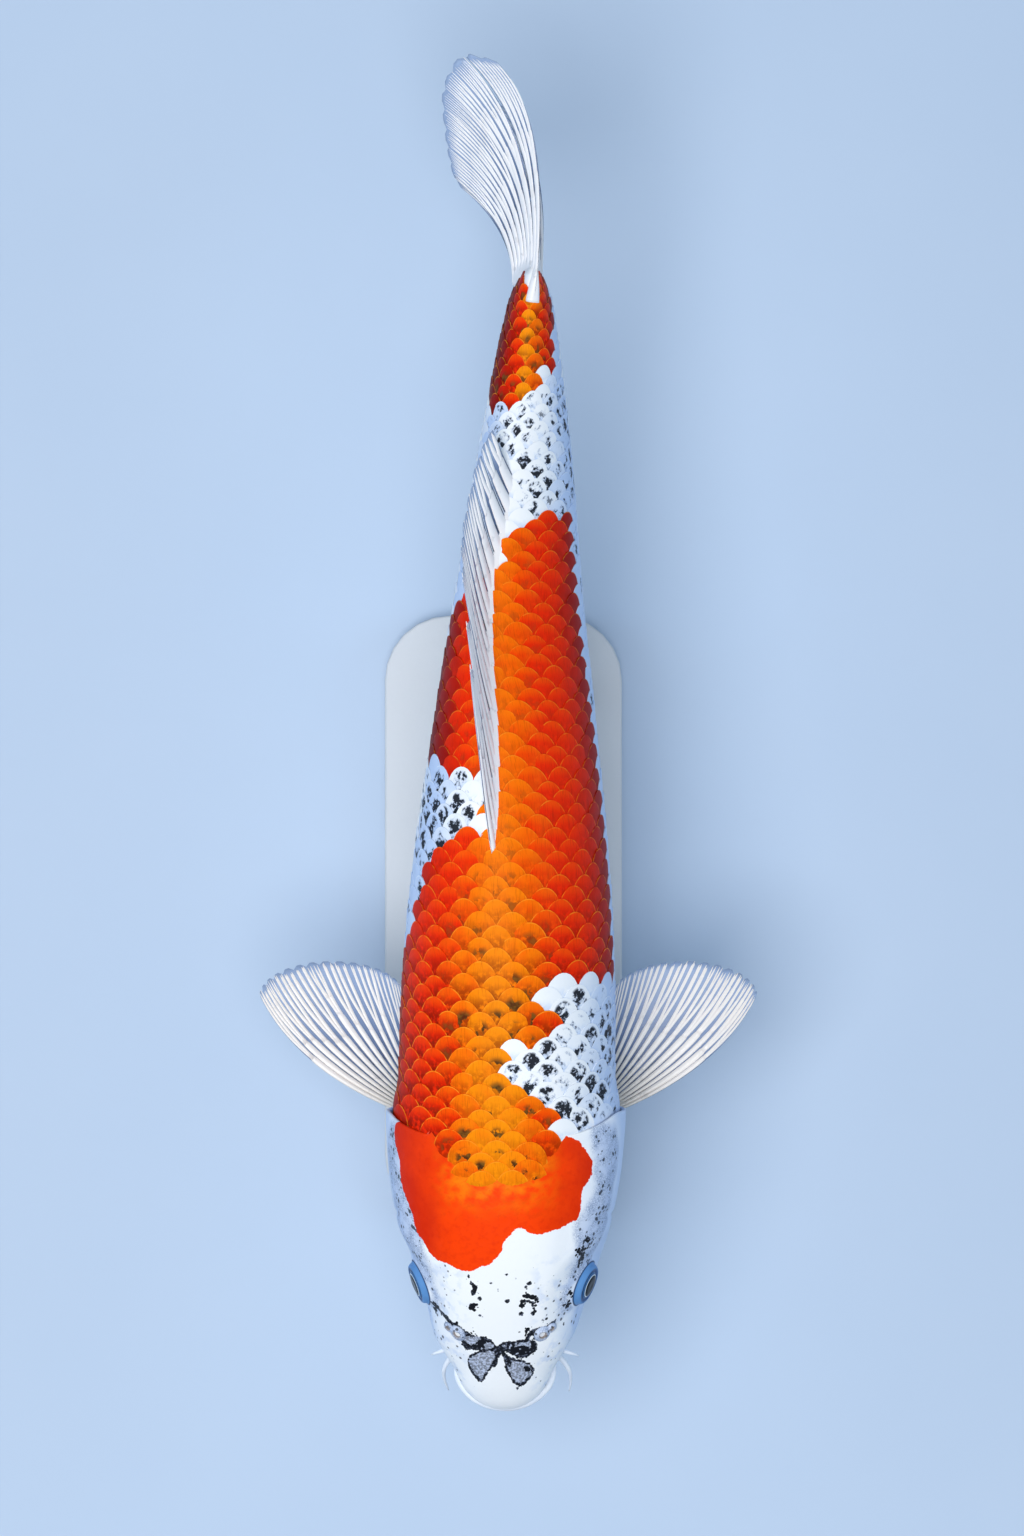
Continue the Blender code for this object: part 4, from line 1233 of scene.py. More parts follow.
def lattice():
    """Column, row and side of every scale. Odd rows are set half a scale back. The rows on the
    middle of the back and of the belly belong to one side only."""
    columns, rows, sides = np.meshgrid(
        np.arange(0, int(COUNTS[-1]) + 1), np.arange(-ROWS_BELOW, ROWS_ABOVE + 1), (1, -1), indexing="ij"
    )
    row, side = rows.ravel(), sides.ravel()
    column = columns.ravel() + 0.5 * (row % 2)
    station = np.interp(column, COUNTS, COUNT_STATIONS)
    share = row_share(row, station)
    girth = share * half_girth(station)
    first = smooth_curve(COAT_START, girth / MM) * MM
    last = BODY_LENGTH - 0.0075 * falling(0.001, 0.009, girth)
    keep = (station > first) & (station < last) & (share > -0.02) & (share < 1.02)
    keep &= (side > 0) | ((share > 0.018) & (share < 0.985))
    return column[keep], row[keep], side[keep]


def scale_plate(steps):
    """One scale on the unit disc: a square grid pressed to a disc by u = a sqrt(1 - b^2/2) and
    v = b sqrt(1 - a^2/2), the order of its rim, and its faces: the grid, the wall and the base."""
    line = np.linspace(-1, 1, steps + 1)
    b, a = np.meshgrid(line, line, indexing="ij")
    disc = np.stack((a * np.sqrt(1 - b * b / 2), b * np.sqrt(1 - a * a / 2)), axis=-1).reshape(-1, 2)
    quads, rim = grid_faces(steps + 1, steps + 1)
    base = len(disc) + np.arange(len(rim))
    wall = np.stack((np.roll(rim, -1), rim, base, np.roll(base, -1)), axis=-1)
    return disc, rim, (quads, wall, base[None, ::-1])


def scale_values(station, girth, random):
    """Colour values of each scale from where its showing part lies."""
    distance = patch_red(station, girth)
    red = np.where(distance + random.normal(0, 0.5, len(station)) > 0, 1.0, 0.0)
    ink = np.zeros(len(station))
    for outline, strength in SCALE_INK:
        near = rising(-3.0, 2.0, inside(outline, station, girth))
        spread = np.clip(random.normal(0.62, 0.30, len(station)), 0.12, 1.15)
        ink = np.maximum(ink, near * strength * spread)
    stray = (random.uniform(0, 1, len(station)) < 0.10) & (np.abs(girth) > 0.045)
    ink = np.maximum(ink, stray * 0.3)
    near_back = falling(0.012, 0.036, np.abs(girth))
    front = falling(0.17, 0.27, station)
    rear = 0.55 * rising(0.43, 0.46, station)
    brown = near_back * (0.25 + 0.75 * front + rear) * (random.uniform(0, 1, len(station)) < 0.50)
    # light weakens the painted shade at the scales' roots near the back; calm weakens it further, with the
    # edge line.
    light = near_back * (1 - rising(0.11, 0.20, station) * 0.6)
    gold = 1 - 0.50 * rising(0.13, 0.30, station) * falling(0.42, 0.45, station)
    calm = rising(0.17, 0.26, station) * falling(0.41, 0.45, station)
    return {"red": red, "ink": ink, "brown": brown, "gold": gold, "light": light, "calm": calm}


def bake_places(column, row, disc, rim, faces):
    """The bake map: every scale has a square cell at its place in the lattice. Its top fills a disc
    there, its wall a ring round the disc, and its base a small disc in the cell's corner."""
    quads, wall, base = faces
    cells = [(at - at.min() + 0.5, at.max() - at.min() + 1) for at in (column, row)]
    centre = np.stack([at / count for at, count in cells], axis=-1)[:, None]
    size = np.array([1 / count for _, count in cells])
    swapped = disc[:, ::-1]
    lowered = swapped[rim]
    top = TOP_DISC * swapped[quads.reshape(-1)]
    ring = np.concatenate((TOP_DISC * swapped, WALL_RING * lowered))[wall.reshape(-1)]
    corner = 0.43 + BASE_DISC * lowered[base[0] - len(disc)]
    return np.concatenate([(centre + part * size).reshape(-1, 2) for part in (top, ring, corner)])


def scale_piece(name, column, row, side, coat, material, random):
    """A coat piece: each scale's grid is laid in lattice coordinates, so it follows the rows, and
    stands over the trunk by a height that climbs to the free edge and falls off to the sides."""
    disc, rim, faces = scale_plate(coat.steps)
    u, v = disc.T
    count = len(column)
    size = random.uniform(*SIZE_RANGE, (count, 1))
    twist = random.normal(0, TWIST, (count, 1))
    lift = random.normal(0, LIFT, (count, 1))
    slide = random.normal(0, SLIDE, (count, 1))
    reach, spread = coat.reach * size, coat.spread * size
    columns = column[:, None] + slide + reach * v + twist * u
    rows = row[:, None] - side[:, None] * (spread * u * (1 - 0.08 * v) - twist * v)
    station = np.interp(columns, COUNTS, COUNT_STATIONS)
    share = side[:, None] * row_share(rows, station)
    height = coat.rise * (v - 1) + lift - coat.crown * u * u + coat.crown * 0.5 * (1 - v * v)
    top = on_body(station, share, height)
    low = on_body(station[:, rim], share[:, rim], height[:, rim] - coat.wall)
    points = np.concatenate((top, low), axis=1)
    first = (np.arange(count) * points.shape[1])[:, None, None]
    whole_faces = [(array + first).reshape(-1, array.shape[1]) for array in faces]
    seen = np.interp(column + SHOWING, COUNTS, COUNT_STATIONS)
    seen_share = row_share(row, seen)
    values = scale_values(seen, side * seen_share * half_girth(seen), random)
    values["seed"] = random.uniform(0, 40, count)
    # deeper raises the side value on the fish's right behind the front of the body, and on the tail stalk, so
    # the painted shade and blue of the flank come higher there.
    deeper = 1.1 * (side < 0) * rising(0.20, 0.28, seen) + 0.45 * rising(0.42, 0.46, seen)
    values["side"] = np.abs(seen_share) * (1 + deeper)
    whole = {key: np.repeat(value, points.shape[1]) for key, value in values.items()}
    whole["across"] = np.tile(np.concatenate((u, u[rim])), count)
    whole["along"] = np.tile(np.concatenate((v, v[rim])), count)
    shape = Shape(points.reshape(-1, 3), whole_faces, whole)
    mesh = mesh_from(name, shape, bake_places(column, row, disc, rim, faces))
    obj = add_piece(name, mesh, material, "skin")
    obj.data.set_sharp_from_angle(angle=math.radians(EDGE_ANGLE))


def build_scales(context):
    coat, material = context.scene.koi_coat, scale_material(context.scene.koi_colours)
    column, row, side = lattice()
    random = np.random.default_rng(SEED)
    for word, wanted in SIDES:
        for band, low, high in ROW_BANDS:
            for part, first, last in COLUMN_BANDS:
                here = (side == wanted) & (row >= low) & (row <= high) & (column > first) & (column <= last)
                name = f"scales_{band}_{part}_{word}"
                scale_piece(name, column[here], row[here], side[here], coat, material, random)


# ---------------------------------------------------------------- fins


def bezier(a, b, c, t):
    return a * (1 - t) ** 2 + b * (2 * t * (1 - t)) + c * t**2


def stacked(*parts):
    return np.stack(np.broadcast_arrays(*parts), axis=-1)


def dorsal_ray(t, r):
    """Ray t of the folded back fin at the share r of its length: from the back, swept towards the
    tail in proportion to r, leaning to the fish's right and rising as a quarter sine."""
    offset = smooth_curve(DORSAL_LINE, t)
    root = body_points(DORSAL_START + DORSAL_BASE * t, offset, -ROOT_SINK)
    lean = 0.0110 + 0.0049 * np.sin(math.pi * t) + DORSAL_TILT * offset - 0.0030 * t
    lean = lean - 0.0025 * np.clip(t, 0, 1) ** 8
    sweep, height = (first + change * t for first, change in (DORSAL_SWEEP, DORSAL_HEIGHT))
    return root + stacked(-lean * np.maximum(r, 0) ** 0.8, sweep * r, height * np.sin(r * math.pi / 2))


def tail_ray(t, r, upper):
    """Ray t of a tail lobe: a quadratic curve from its root, by way of a bow, to the lobe's edge,
    cupped to the fish's right, with its height rising outwards."""
    size = 1.0 if upper else LOWER_LOBE
    root = stacked(-0.0080 + 0.0108 * t, 0.0020 - 0.0040 * t)
    bow = stacked(-0.0089 + 0.0200 * t, 0.0286 + 0.0430 * t) * size
    edge = stacked(smooth_curve(TAIL_EDGE_OUT, t), smooth_curve(TAIL_EDGE_BACK, t)) * size
    flat = bezier(root, bow, edge, np.asarray(r)[..., None])
    if upper:
        ridge = rising(0.45, 1.0, t) * np.clip(1 - r, 0, 1) ** 2
        flat = flat - stacked(0.0014 * ridge, 0.0058 * ridge)
        rise = -0.0010 + 0.0300 * t + r * (0.003 + 0.019 * t) + 0.0032 * ridge
    else:
        flat = flat + stacked(0.0012 * t, 0.0)
        rise = -0.0030 - 0.0270 * t - r * (0.003 + 0.030 * t)
    return axis_points(BODY_LENGTH) + stacked(flat[..., 0], flat[..., 1], rise)


def pectoral_ray(t, r, side):
    """Ray t of a breast fin: a quadratic curve from its root to a tip on an ellipse, the front rays
    bowed forward."""
    turn = math.radians(PECTORAL_FAN) * t
    root = stacked(0.0400 - 0.0030 * t, 0.1275 + 0.0095 * t, -0.0290 - 0.0050 * t)
    tip = stacked(
        PECTORAL_CENTRE[0] + PECTORAL_LENGTHS[0] * np.cos(turn),
        PECTORAL_CENTRE[1] + PECTORAL_LENGTHS[1] * np.sin(turn),
        -0.0340 - 0.0060 * t,
    )
    bow = stacked(0.0185, -0.0085, 0.003) * (np.clip(1 - t, 0, 1) ** 1.5)[..., None]
    flat = bezier(root, (root + tip) / 2 + bow, tip, np.asarray(r)[..., None])
    anchor = 0.165
    return axis_points(anchor) + flat * (side, 1, 1) - (0, anchor, 0)


def pelvic_ray(t, r, side):
    """Ray t of a belly fin: straight from the belly, trailing back and down, with a slight sag."""
    angle = side * math.radians(PELVIC_ANGLE) + 0 * t
    root = body_points(PELVIC_START + PELVIC_BASE * t, angle, -ROOT_SINK)
    tip = stacked(side * (0.014 - 0.009 * t), 0.046 - 0.014 * t, -0.026 + 0.006 * t)
    return root + tip * np.asarray(r)[..., None] + stacked(0.0, 0.0, -0.004 * np.sin(math.pi * r))


def anal_ray(t, r):
    """Ray t of the fin under the tail: straight from the body, bowed slightly towards the tail."""
    root = body_points(ANAL_START + ANAL_BASE * t, math.pi + 0 * t, -ROOT_SINK)
    tip = stacked(0.003, 0.034 - 0.014 * t, -0.034 + 0.017 * t)
    return root + tip * np.asarray(r)[..., None] + stacked(0.0, 0.004 * np.sin(math.pi * r), 0.0)


def fin_axes(surface, t, r):
    """How a fin's surface runs across its rays, per unit of t, and its unit normal."""
    step = 0.004
    wide = surface(t + step, r) - surface(t - step, r)
    lengthwise = surface(t, r + step) - surface(t, r - step)
    return wide / (2 * step), unit(np.cross(lengthwise, wide))


def ray_tubes(surface, middle, across, r, height, **values):
    """Flattened tubes on a fin: ellipses across the ray at each r. middle and across are the place
    and the half width in the fin's own t, and height is half the thickness in metres."""
    wide, normal = fin_axes(surface, middle, r)
    flat, high = wide * across[..., None], normal * height[..., None]
    turn = circle(8)[:, None]
    ring = flat[:, :, None] * np.cos(turn) + high[:, :, None] * np.sin(turn)
    points = surface(middle, r)[:, :, None] + ring
    return tubes(points, **{key: value[:, :, None] for key, value in values.items()})


def fork_ways(level):
    """Every way through so many forks, as rows of -1 and 1."""
    return np.array(np.meshgrid(*[(-1, 1)] * level)).reshape(level, -1).T if level else np.zeros((1, 0))


def ray_height(fins, bulk, r):
    """Half a ray's thickness, from bulk times its root's to its tip's, by a power of r."""
    root = bulk * fins.ray_height
    return root + (fins.tip_height - root) * r**0.7


def fin_rays(
    surface, count, forks, fins, random, fullness=0.44, length=0.985, t_range=(0.0, 1.0), bulk=1.0
):
    """All rays of a fin. Each is a stem that forks into two at each of the given shares of its
    length. Branches start inside their stem and spread evenly over the ray's share of the fin, each
    fork half as far as the one before. Rays waver a little, as a sine, and taper to their ends.
    fullness is half a ray's width in shares of its room, and bulk thickens the roots."""
    width = (t_range[1] - t_range[0]) / count
    ray_middle = t_range[0] + (np.arange(count) + 0.5) * width
    seed = random.uniform(0, 50, count)
    tips = length * (1 - random.uniform(0.0, 0.02, count))
    fork = np.array(forks).reshape(-1, 1) + random.uniform(-0.09, 0.07, (len(forks), count))
    wide = random.uniform(0.72, 1.10, count)[:, None]
    phase = random.uniform(0, 2 * math.pi, count)[:, None]
    shapes = []
    for level in range(len(forks) + 1):
        tip = level == len(forks)
        first = fork[level - 1] if level else np.zeros(count)
        last = tips if tip else fork[level] + 0.06
        share = np.linspace(0, 1, max(8, int(34 * (last - first).mean())))
        taper, from_share = (0.7, 0.72) if tip else (0.85, 0.88)
        fade = 1 - taper * rising(from_share, 1.0, share)
        branch = 0.5**level * (1.08 if level else 1.0)
        for way in fork_ways(level):
            end = last * (1 - random.uniform(0.0, 0.02, count)) if tip else last
            r = first[:, None] + (end - first)[:, None] * share
            offset = 0.07 * width * np.sin(5 * r + phase) * r
            for i, (start, sign) in enumerate(zip(fork[:, :, None], way)):
                spread = 0.40 + 0.60 * rising(start, start + 0.24, r)
                offset = offset + sign * width * 0.5 ** (i + 2) * spread
            half = wide * width * fullness * branch * (1.0 - 0.25 * r) * fade
            half = half * (0.45 + 0.55 * rising(-0.01, 0.06, r))
            height = ray_height(fins, bulk, r) * (0.55 + 0.45 * fade)
            seeds = np.broadcast_to(seed[:, None], r.shape)
            middle = ray_middle[:, None] + offset
            shapes.append(ray_tubes(surface, middle, half, r, height, length=r, seed=seeds))
    return shapes


def fin_sheet(surface, t, r, half):
    """A closed sheet on a fin: its two faces stand the given half thickness off the surface."""
    lift = fin_axes(surface, t, r)[1] * half
    middle = surface(t, r)
    return sheet(middle + lift, middle - lift, length=np.maximum(r, 0))


def fin_web(
    surface, fins, count, length=0.995, scallop=0.02, t_range=(0.0, 1.0), rows=26, drop=0.0
):
    """The web: a thin closed sheet over the fin, its two faces half the thickness to either side of
    the surface. Its free edge falls back evenly by `drop`, and between the rays as a cosine of t."""
    start, t = 0.02, np.linspace(*t_range, max(3 * count, 12) + 1)
    phase = (t - t_range[0]) / (t_range[1] - t_range[0]) * count
    limit = length - scallop * (0.5 + 0.5 * np.cos(2 * math.pi * phase)) - drop * phase / count
    r = start + (limit[None] - start) * np.linspace(0, 1, rows)[:, None]
    return fin_sheet(surface, np.broadcast_to(t, r.shape), r, fins.web_thickness / 2)


def fin_root(surface, thickness, first, last, t_range=(0.0, 1.0)):
    """The flesh that the rays grow from: a sheet over the root end of the fin, whose thickness falls
    off as a power of the way along it, and rounds off at both of its sides."""
    share, t = np.broadcast_arrays(np.linspace(0, 1, 12)[:, None], np.linspace(*t_range, 40))
    across = (t - t_range[0]) / (t_range[1] - t_range[0]) * 2 - 1
    half = 0.0001 + thickness / 2 * (1 - share**1.5) * np.sqrt(np.maximum(1 - across**2, 0.0))
    return fin_sheet(surface, t, first + (last - first) * share, half[..., None])


def ray_material(colours, root):
    """Fin rays: cream white bone with fine cross joints and faint grey streaks, tinted at the root."""
    material, graph, shader = new_material(f"ray_{root}", roughness=0.38, coat=0.25)
    mix, step, length = graph.mix, graph.step, graph.value("length")
    streak = graph.noise(graph.combine(graph.value("seed"), length * 5.0, 0.0), 1.0, 3.0)
    base = mix(streak * 0.35, BREAST_RAY if root == "beige" else colours.ray, RAY_STREAK)
    if root == "beige":
        base = mix(step(0.50, 0.02, length), base, colours.ray_root)
    joint = step(0.7, 1.0, graph.math("SINE", length * 420.0)) * step(0.2, 0.45, length)
    base = mix(joint * 0.03, base, RAY_JOINT)
    dark = step(0.58, 0.68, graph.noise(graph.place(), 240.0, 4.0)) * step(0.52, 0.10, length)
    graph.put(shader["Base Color"], mix(dark * 0.22, base, colours.ink))
    graph.put(shader["Normal"], graph.bump(joint * -1.0, 0.00008, 0.25))
    return material


def web_material(colours, fins):
    """The clear web between the rays: bluish, darker and streaked along the rays at the root."""
    material, graph, shader = new_material("fin_web", roughness=0.22, coat=0.2, alpha=fins.web_alpha)
    length = graph.value("length")
    clear = graph.mix(graph.step(0.25, 1.0, length), colours.web, WEB_TIP)
    dark = graph.step(0.6, 0.1, length) * graph.step(0.35, 0.6, graph.noise(graph.place(), 210.0, 4.0))
    graph.put(shader["Base Color"], graph.mix(dark * 0.8, clear, colours.ink))
    return material


def add_fin(context, name, shapes, webs, root="white"):
    """A fin's rays as one piece, which stands for the solid fin, and its webs as another. The fins
    share their materials."""
    colours, fins = context.scene.koi_colours, context.scene.koi_fins
    rays = bpy.data.materials.get(f"ray_{root}") or ray_material(colours, root)
    web = bpy.data.materials.get("fin_web") or web_material(colours, fins)
    ray_mesh = mesh_from(f"{name}_rays", joined(shapes))
    add_piece(ray_mesh.name, ray_mesh, rays, "fin", f"fin_{name}")
    web_mesh = mesh_from(f"{name}_web", joined(webs))
    add_piece(web_mesh.name, web_mesh, web, "fin")


def build_tail_fin(context):
    """Each lobe has seven wide rays and, apart from them, two stout ones along its outer edge."""
    fins = context.scene.koi_fins
    random = np.random.default_rng(SEED + 1)
    for word in ("upper", "lower"):

        def lobe(t, r, upper=word == "upper"):
            return tail_ray(t, r, upper)

        rays, webs = [], []
        for count, forks, fullness, t_range in (
            (7, (0.36, 0.58, 0.78), 0.47, (0.0, 0.80)),
            (2, (0.40, 0.60, 0.80), 0.48, (0.815, 1.0)),
        ):
            rays += fin_rays(lobe, count, forks, fins, random, fullness, t_range=t_range, bulk=1.2)
            webs.append(fin_web(lobe, fins, count, t_range=t_range, rows=34))
        rays.append(fin_root(lobe, 0.0034, -0.012, 0.13))
        rays.append(fin_root(lobe, 0.0058, -0.012, 0.10, (0.85, 1.0)))
        add_fin(context, f"tail_{word}", rays, webs)


def build_back_fin(context):
    """The back fin lies folded, so its rays hang together in separate overlapping bundles. Each
    bundle's edge falls back from its first ray, most of all the two in front, which end in spines."""
    fins = context.scene.koi_fins
    random = np.random.default_rng(SEED + 2)
    rays, webs = [], []
    starts = np.concatenate(((0.0, 0.17), np.linspace(0.35, 1.0, 7)))
    for i, (low, high) in enumerate(zip(starts, starts[1:])):
        t_range = (low, low + 0.94 * (high - low))
        count, drop = (3, 0.22) if i < 2 else (2, 0.05)
        length = 1.0 - random.uniform(0.0, 0.03)
        lengths = length - drop * np.linspace(0.0, 0.9, count)
        rays += fin_rays(dorsal_ray, count, (0.5,), fins, random, 0.50, lengths, t_range, 1.4)
        webs.append(fin_web(dorsal_ray, fins, count, length=length, t_range=t_range, rows=16, drop=drop))
    rays.append(fin_root(dorsal_ray, 0.0062, -0.02, 0.13))
    add_fin(context, "dorsal", rays, webs)


def build_paired_fins(context):
    fins = context.scene.koi_fins
    random = np.random.default_rng(SEED + 3)
    stout_front = 0.43 + 0.20 * falling(0, 6, np.arange(PECTORAL_RAYS))[:, None]
    for word, side in SIDES:

        def breast(t, r, side=side):
            return pectoral_ray(t, r, side)

        def belly(t, r, side=side):
            return pelvic_ray(t, r, side)

        rays = fin_rays(breast, PECTORAL_RAYS, (0.60, 0.86), fins, random, stout_front, length=0.992)
        rays.append(fin_root(breast, 0.0030, -0.03, 0.14))
        web = fin_web(breast, fins, PECTORAL_RAYS, length=0.993, scallop=0.025)
        add_fin(context, f"pectoral_{word}", rays, [web], "beige")
        rays = fin_rays(belly, PELVIC_RAYS, (0.4, 0.7), fins, random)
        add_fin(context, f"pelvic_{word}", rays, [fin_web(belly, fins, PELVIC_RAYS, rows=14)])


def build_anal_fin(context):
    fins = context.scene.koi_fins
    rays = fin_rays(anal_ray, ANAL_RAYS, (0.4, 0.7), fins, np.random.default_rng(SEED + 4))
    add_fin(context, "anal", rays, [fin_web(anal_ray, fins, ANAL_RAYS, rows=14)])


# ---------------------------------------------------------------- eyes


def eye_material(colours):
    """An eye by its angle from the axis: black pupil, thin silver ring, streaked blue grey iris and
    a dark edge, under a clear wet coat."""
    material, graph, shader = new_material("koi_eye", roughness=0.12, coat=0.02, specular=0.06)
    mix, step, turn = graph.mix, graph.step, graph.value("turn")
    base = mix(graph.noise(graph.place(), 900.0, 3.0), colours.iris, IRIS_STREAK)
    base = mix(step(45.0, 50.0, turn), base, IRIS_EDGE)
    base = mix(step(36.0, 37.2, turn) * step(39.8, 38.4, turn), base, colours.ring)
    graph.put(shader["Base Color"], mix(step(37.0, 36.0, turn), base, PUPIL))
    return material


def build_eyes(context):
    """Each eye is a ball turned about its axis, with a slightly flatter front."""
    material = eye_material(context.scene.koi_colours)
    turn, round_ = np.linspace(0.5, 179.5, 72), circle(72)[:, None]
    radius, tilt = ball_radius(turn)[:, None, None], np.radians(turn)[:, None, None]
    for word, side in SIDES:
        centre, axis = eye_frame(side)
        across = unit(np.cross(axis, (0, 1.0, 0)))
        ring = across * np.cos(round_) + np.cross(axis, across) * np.sin(round_)
        points = centre + radius * (axis * np.cos(tilt) + ring * np.sin(tilt))
        mesh = mesh_from(f"eyeball_{word}", tubes(points[None], turn=turn[None, :, None]))
        add_piece(mesh.name, mesh, material, "eye", f"eye_{word}")


# ---------------------------------------------------------------- stand and stage


def paint_material(colours):
    """Satin paint with a faint orange-peel."""
    material, graph, shader = new_material("satin_paint", roughness=0.42)
    grain = graph.noise(graph.place(), 700.0, 3.0)
    graph.put(shader["Base Color"], graph.mix(grain * 0.2, colours.paint, PAINT_GRAIN))
    graph.put(shader["Normal"], graph.bump(grain, 0.00006, 0.4))
    return material


def steel_material(colours):
    """Steel brushed along the rod: noise drawn out along Z."""
    material, graph, shader = new_material("brushed_rod", roughness=0.3, metallic=1.0)
    inputs = {"Vector": graph.place(), "Scale": (1.0, 1.0, 0.04)}
    grain = graph.noise(graph.add("ShaderNodeMapping", inputs), 2600.0, 3.0)
    graph.put(shader["Base Color"], graph.mix(grain, colours.steel, STEEL_GRAIN))
    graph.put(shader["Normal"], graph.bump(grain, 0.00005, 0.4))
    return material


def finish_stand(context):
    colours = context.scene.koi_colours
    looks = {False: ("stand", paint_material(colours)), True: ("steel", steel_material(colours))}
    for name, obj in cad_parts.items():
        if name.startswith("stand_"):
            slot, material = looks["rod" in name]
            obj.data.materials.clear()
            obj.data.materials.append(material)


MIDDLE = (0.004, 0.07, 0.14)
FLOOR_REACH = 8
SKY_STRENGTH = 0.34
VIEW_LEVEL, VIEW_CENTRE = 0.145, (0.00397, 0.0693)


def build_floor(stage):
    """A flat pale floor with faint clouds."""
    mesh = bpy.data.meshes.new("floor")
    corners = [(FLOOR_REACH * x, FLOOR_REACH * y, 0) for x, y in ((-1, -1), (1, -1), (1, 1), (-1, 1))]
    mesh.from_pydata(corners, [], [(0, 1, 2, 3)])
    material, graph, shader = new_material("floor", roughness=0.75)
    tone = graph.noise(graph.place(), 9.0, 3.0) * 0.08
    graph.put(shader["Base Color"], graph.mix(tone, stage.floor_colour, FLOOR_CLOUD))
    mesh.materials.append(material)
    floor = bpy.data.objects.new("floor", mesh)
    bpy.context.scene.collection.objects.link(floor)


def area_light(name, at, size, power, colour):
    """A round lamp at a place, turned towards the middle of the fish."""
    light = bpy.data.lights.new(name, "AREA")
    light.shape, light.size, light.energy, light.color = "DISK", size, power, colour
    obj = bpy.data.objects.new(name, light)
    bpy.context.scene.collection.objects.link(obj)
    obj.location = at
    x, y, z = np.array(MIDDLE) - np.array(at, float)
    obj.rotation_euler = (math.atan2(math.hypot(x, y), -z), 0.0, math.atan2(x, -y) + math.pi)


def build_light(stage):
    """Soft light from above and both sides, and a pale blue sky."""
    area_light("overhead", (-0.35, -0.25, 2.2), 1.5, stage.key_power, WHITE_LIGHT)
    for word, side in SIDES:
        area_light(f"side_{word}", (side * 1.8, 0.2, 0.9), 1.2, stage.fill_power, SIDE_LIGHT_BLUE)
    world = bpy.data.worlds.new("studio")
    world.use_nodes = True
    background = world.node_tree.nodes["Background"].inputs
    background["Color"].default_value = (*SKY_BLUE, 1.0)
    background["Strength"].default_value = SKY_STRENGTH
    bpy.context.scene.world = world


def build_camera(stage):
    """A camera straight overhead, whose view is as long as asked at the body's level."""
    data = bpy.data.cameras.new("camera")
    data.sensor_fit = "VERTICAL"
    data.angle = 2 * math.atan(stage.view_height / 2 / (stage.camera_height - VIEW_LEVEL))
    data.clip_end = 20
    camera = bpy.data.objects.new("camera", data)
    camera.location = (*VIEW_CENTRE, stage.camera_height)
    bpy.context.scene.collection.objects.link(camera)
    bpy.context.scene.camera = camera
    bpy.context.scene.view_settings.view_transform = "Standard"


def build_stage(context):
    stage = context.scene.koi_stage
    build_floor(stage)
    build_light(stage)
    build_camera(stage)


# ---------------------------------------------------------------- operators and panel


class KOI_OT_skin(bpy.types.Operator):
    """Build the skin of head, trunk and tail stalk, with lips, feelers and nostrils"""

    bl_idname = "koi.skin"
    bl_label = "Skin"

    def execute(self, context):
        build_skin(context)
        return {"FINISHED"}


class KOI_OT_eyes(bpy.types.Operator):
    """Build both eyes"""

    bl_idname = "koi.eyes"
    bl_label = "Eyes"

    def execute(self, context):
        build_eyes(context)
        return {"FINISHED"}


class KOI_OT_scales(bpy.types.Operator):
    """Build the coat of scales"""

    bl_idname = "koi.scales"
    bl_label = "Scales"

    def execute(self, context):
        build_scales(context)
        return {"FINISHED"}


class KOI_OT_tail_fin(bpy.types.Operator):
    """Build both lobes of the tail fin"""

    bl_idname = "koi.tail_fin"
    bl_label = "Tail fin"

    def execute(self, context):
        build_tail_fin(context)
        return {"FINISHED"}


class KOI_OT_back_fin(bpy.types.Operator):
    """Build the folded back fin"""

    bl_idname = "koi.back_fin"
    bl_label = "Back fin"

    def execute(self, context):
        build_back_fin(context)
        return {"FINISHED"}


class KOI_OT_paired_fins(bpy.types.Operator):
    """Build the breast fins and the belly fins"""

    bl_idname = "koi.paired_fins"
    bl_label = "Paired fins"

    def execute(self, context):
        build_paired_fins(context)
        return {"FINISHED"}


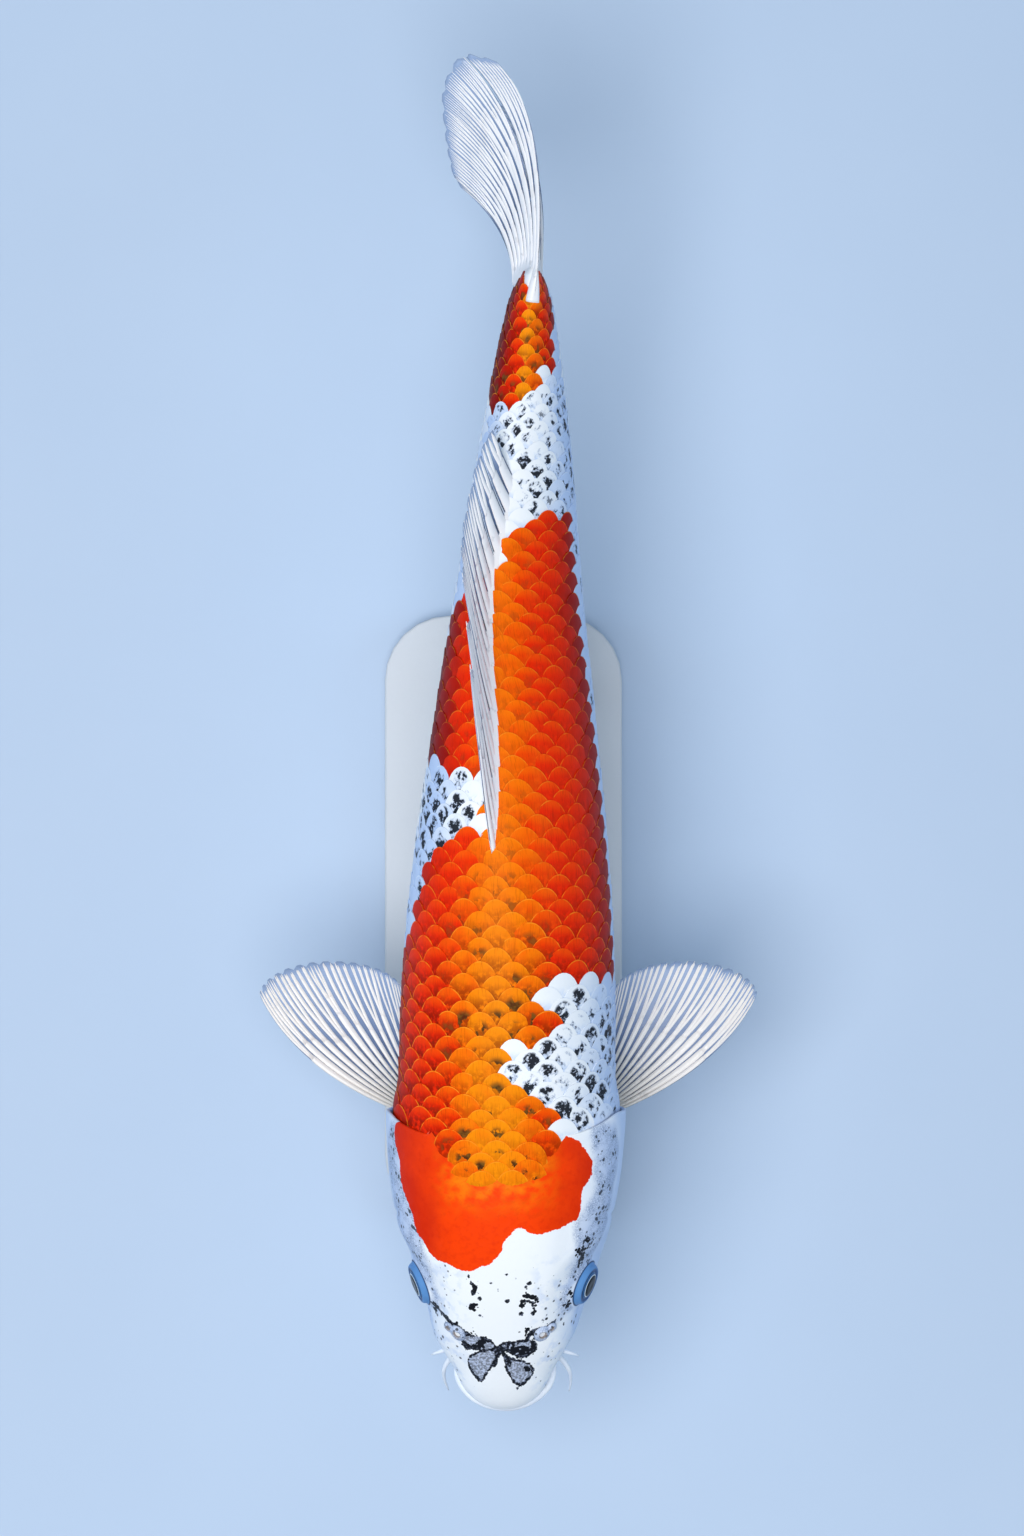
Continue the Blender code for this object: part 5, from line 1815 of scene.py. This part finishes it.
class KOI_OT_anal_fin(bpy.types.Operator):
    """Build the fin under the tail"""

    bl_idname = "koi.anal_fin"
    bl_label = "Anal fin"

    def execute(self, context):
        build_anal_fin(context)
        return {"FINISHED"}


class KOI_OT_stand(bpy.types.Operator):
    """Give the stand its paint and steel"""

    bl_idname = "koi.stand"
    bl_label = "Stand"

    def execute(self, context):
        finish_stand(context)
        return {"FINISHED"}


class KOI_OT_stage(bpy.types.Operator):
    """Build the floor, lights and camera"""

    bl_idname = "koi.stage"
    bl_label = "Stage"

    def execute(self, context):
        build_stage(context)
        return {"FINISHED"}


OPERATORS = (
    KOI_OT_skin,
    KOI_OT_eyes,
    KOI_OT_scales,
    KOI_OT_tail_fin,
    KOI_OT_back_fin,
    KOI_OT_paired_fins,
    KOI_OT_anal_fin,
    KOI_OT_stand,
    KOI_OT_stage,
)
SETTINGS = {
    "koi_coat": KoiCoatSettings,
    "koi_fins": KoiFinSettings,
    "koi_colours": KoiColourSettings,
    "koi_stage": KoiStageSettings,
}


class KOI_PT_panel(bpy.types.Panel):
    """Lists the operators that build the koi."""

    bl_idname = "KOI_PT_panel"
    bl_label = "Koi"
    bl_space_type = "VIEW_3D"
    bl_region_type = "UI"
    bl_category = "Koi"

    def draw(self, context):
        for operator in OPERATORS:
            self.layout.operator(operator.bl_idname)
        for name in SETTINGS:
            settings = getattr(context.scene, name)
            box = self.layout.box()
            for key in settings.bl_rna.properties.keys():
                if key not in {"rna_type", "name"}:
                    box.prop(settings, key)


def register():
    for group in SETTINGS.values():
        bpy.utils.register_class(group)
    for name, group in SETTINGS.items():
        setattr(bpy.types.Scene, name, PointerProperty(type=group))
    for operator in OPERATORS:
        bpy.utils.register_class(operator)
    bpy.utils.register_class(KOI_PT_panel)


def unregister():
    bpy.utils.unregister_class(KOI_PT_panel)
    for operator in reversed(OPERATORS):
        bpy.utils.unregister_class(operator)
    for name, group in SETTINGS.items():
        delattr(bpy.types.Scene, name)
        bpy.utils.unregister_class(group)


def main():
    register()
    for operator in OPERATORS:
        word = operator.bl_idname.split(".")[1]
        getattr(bpy.ops.koi, word)()


if __name__ == "__main__":
    main()
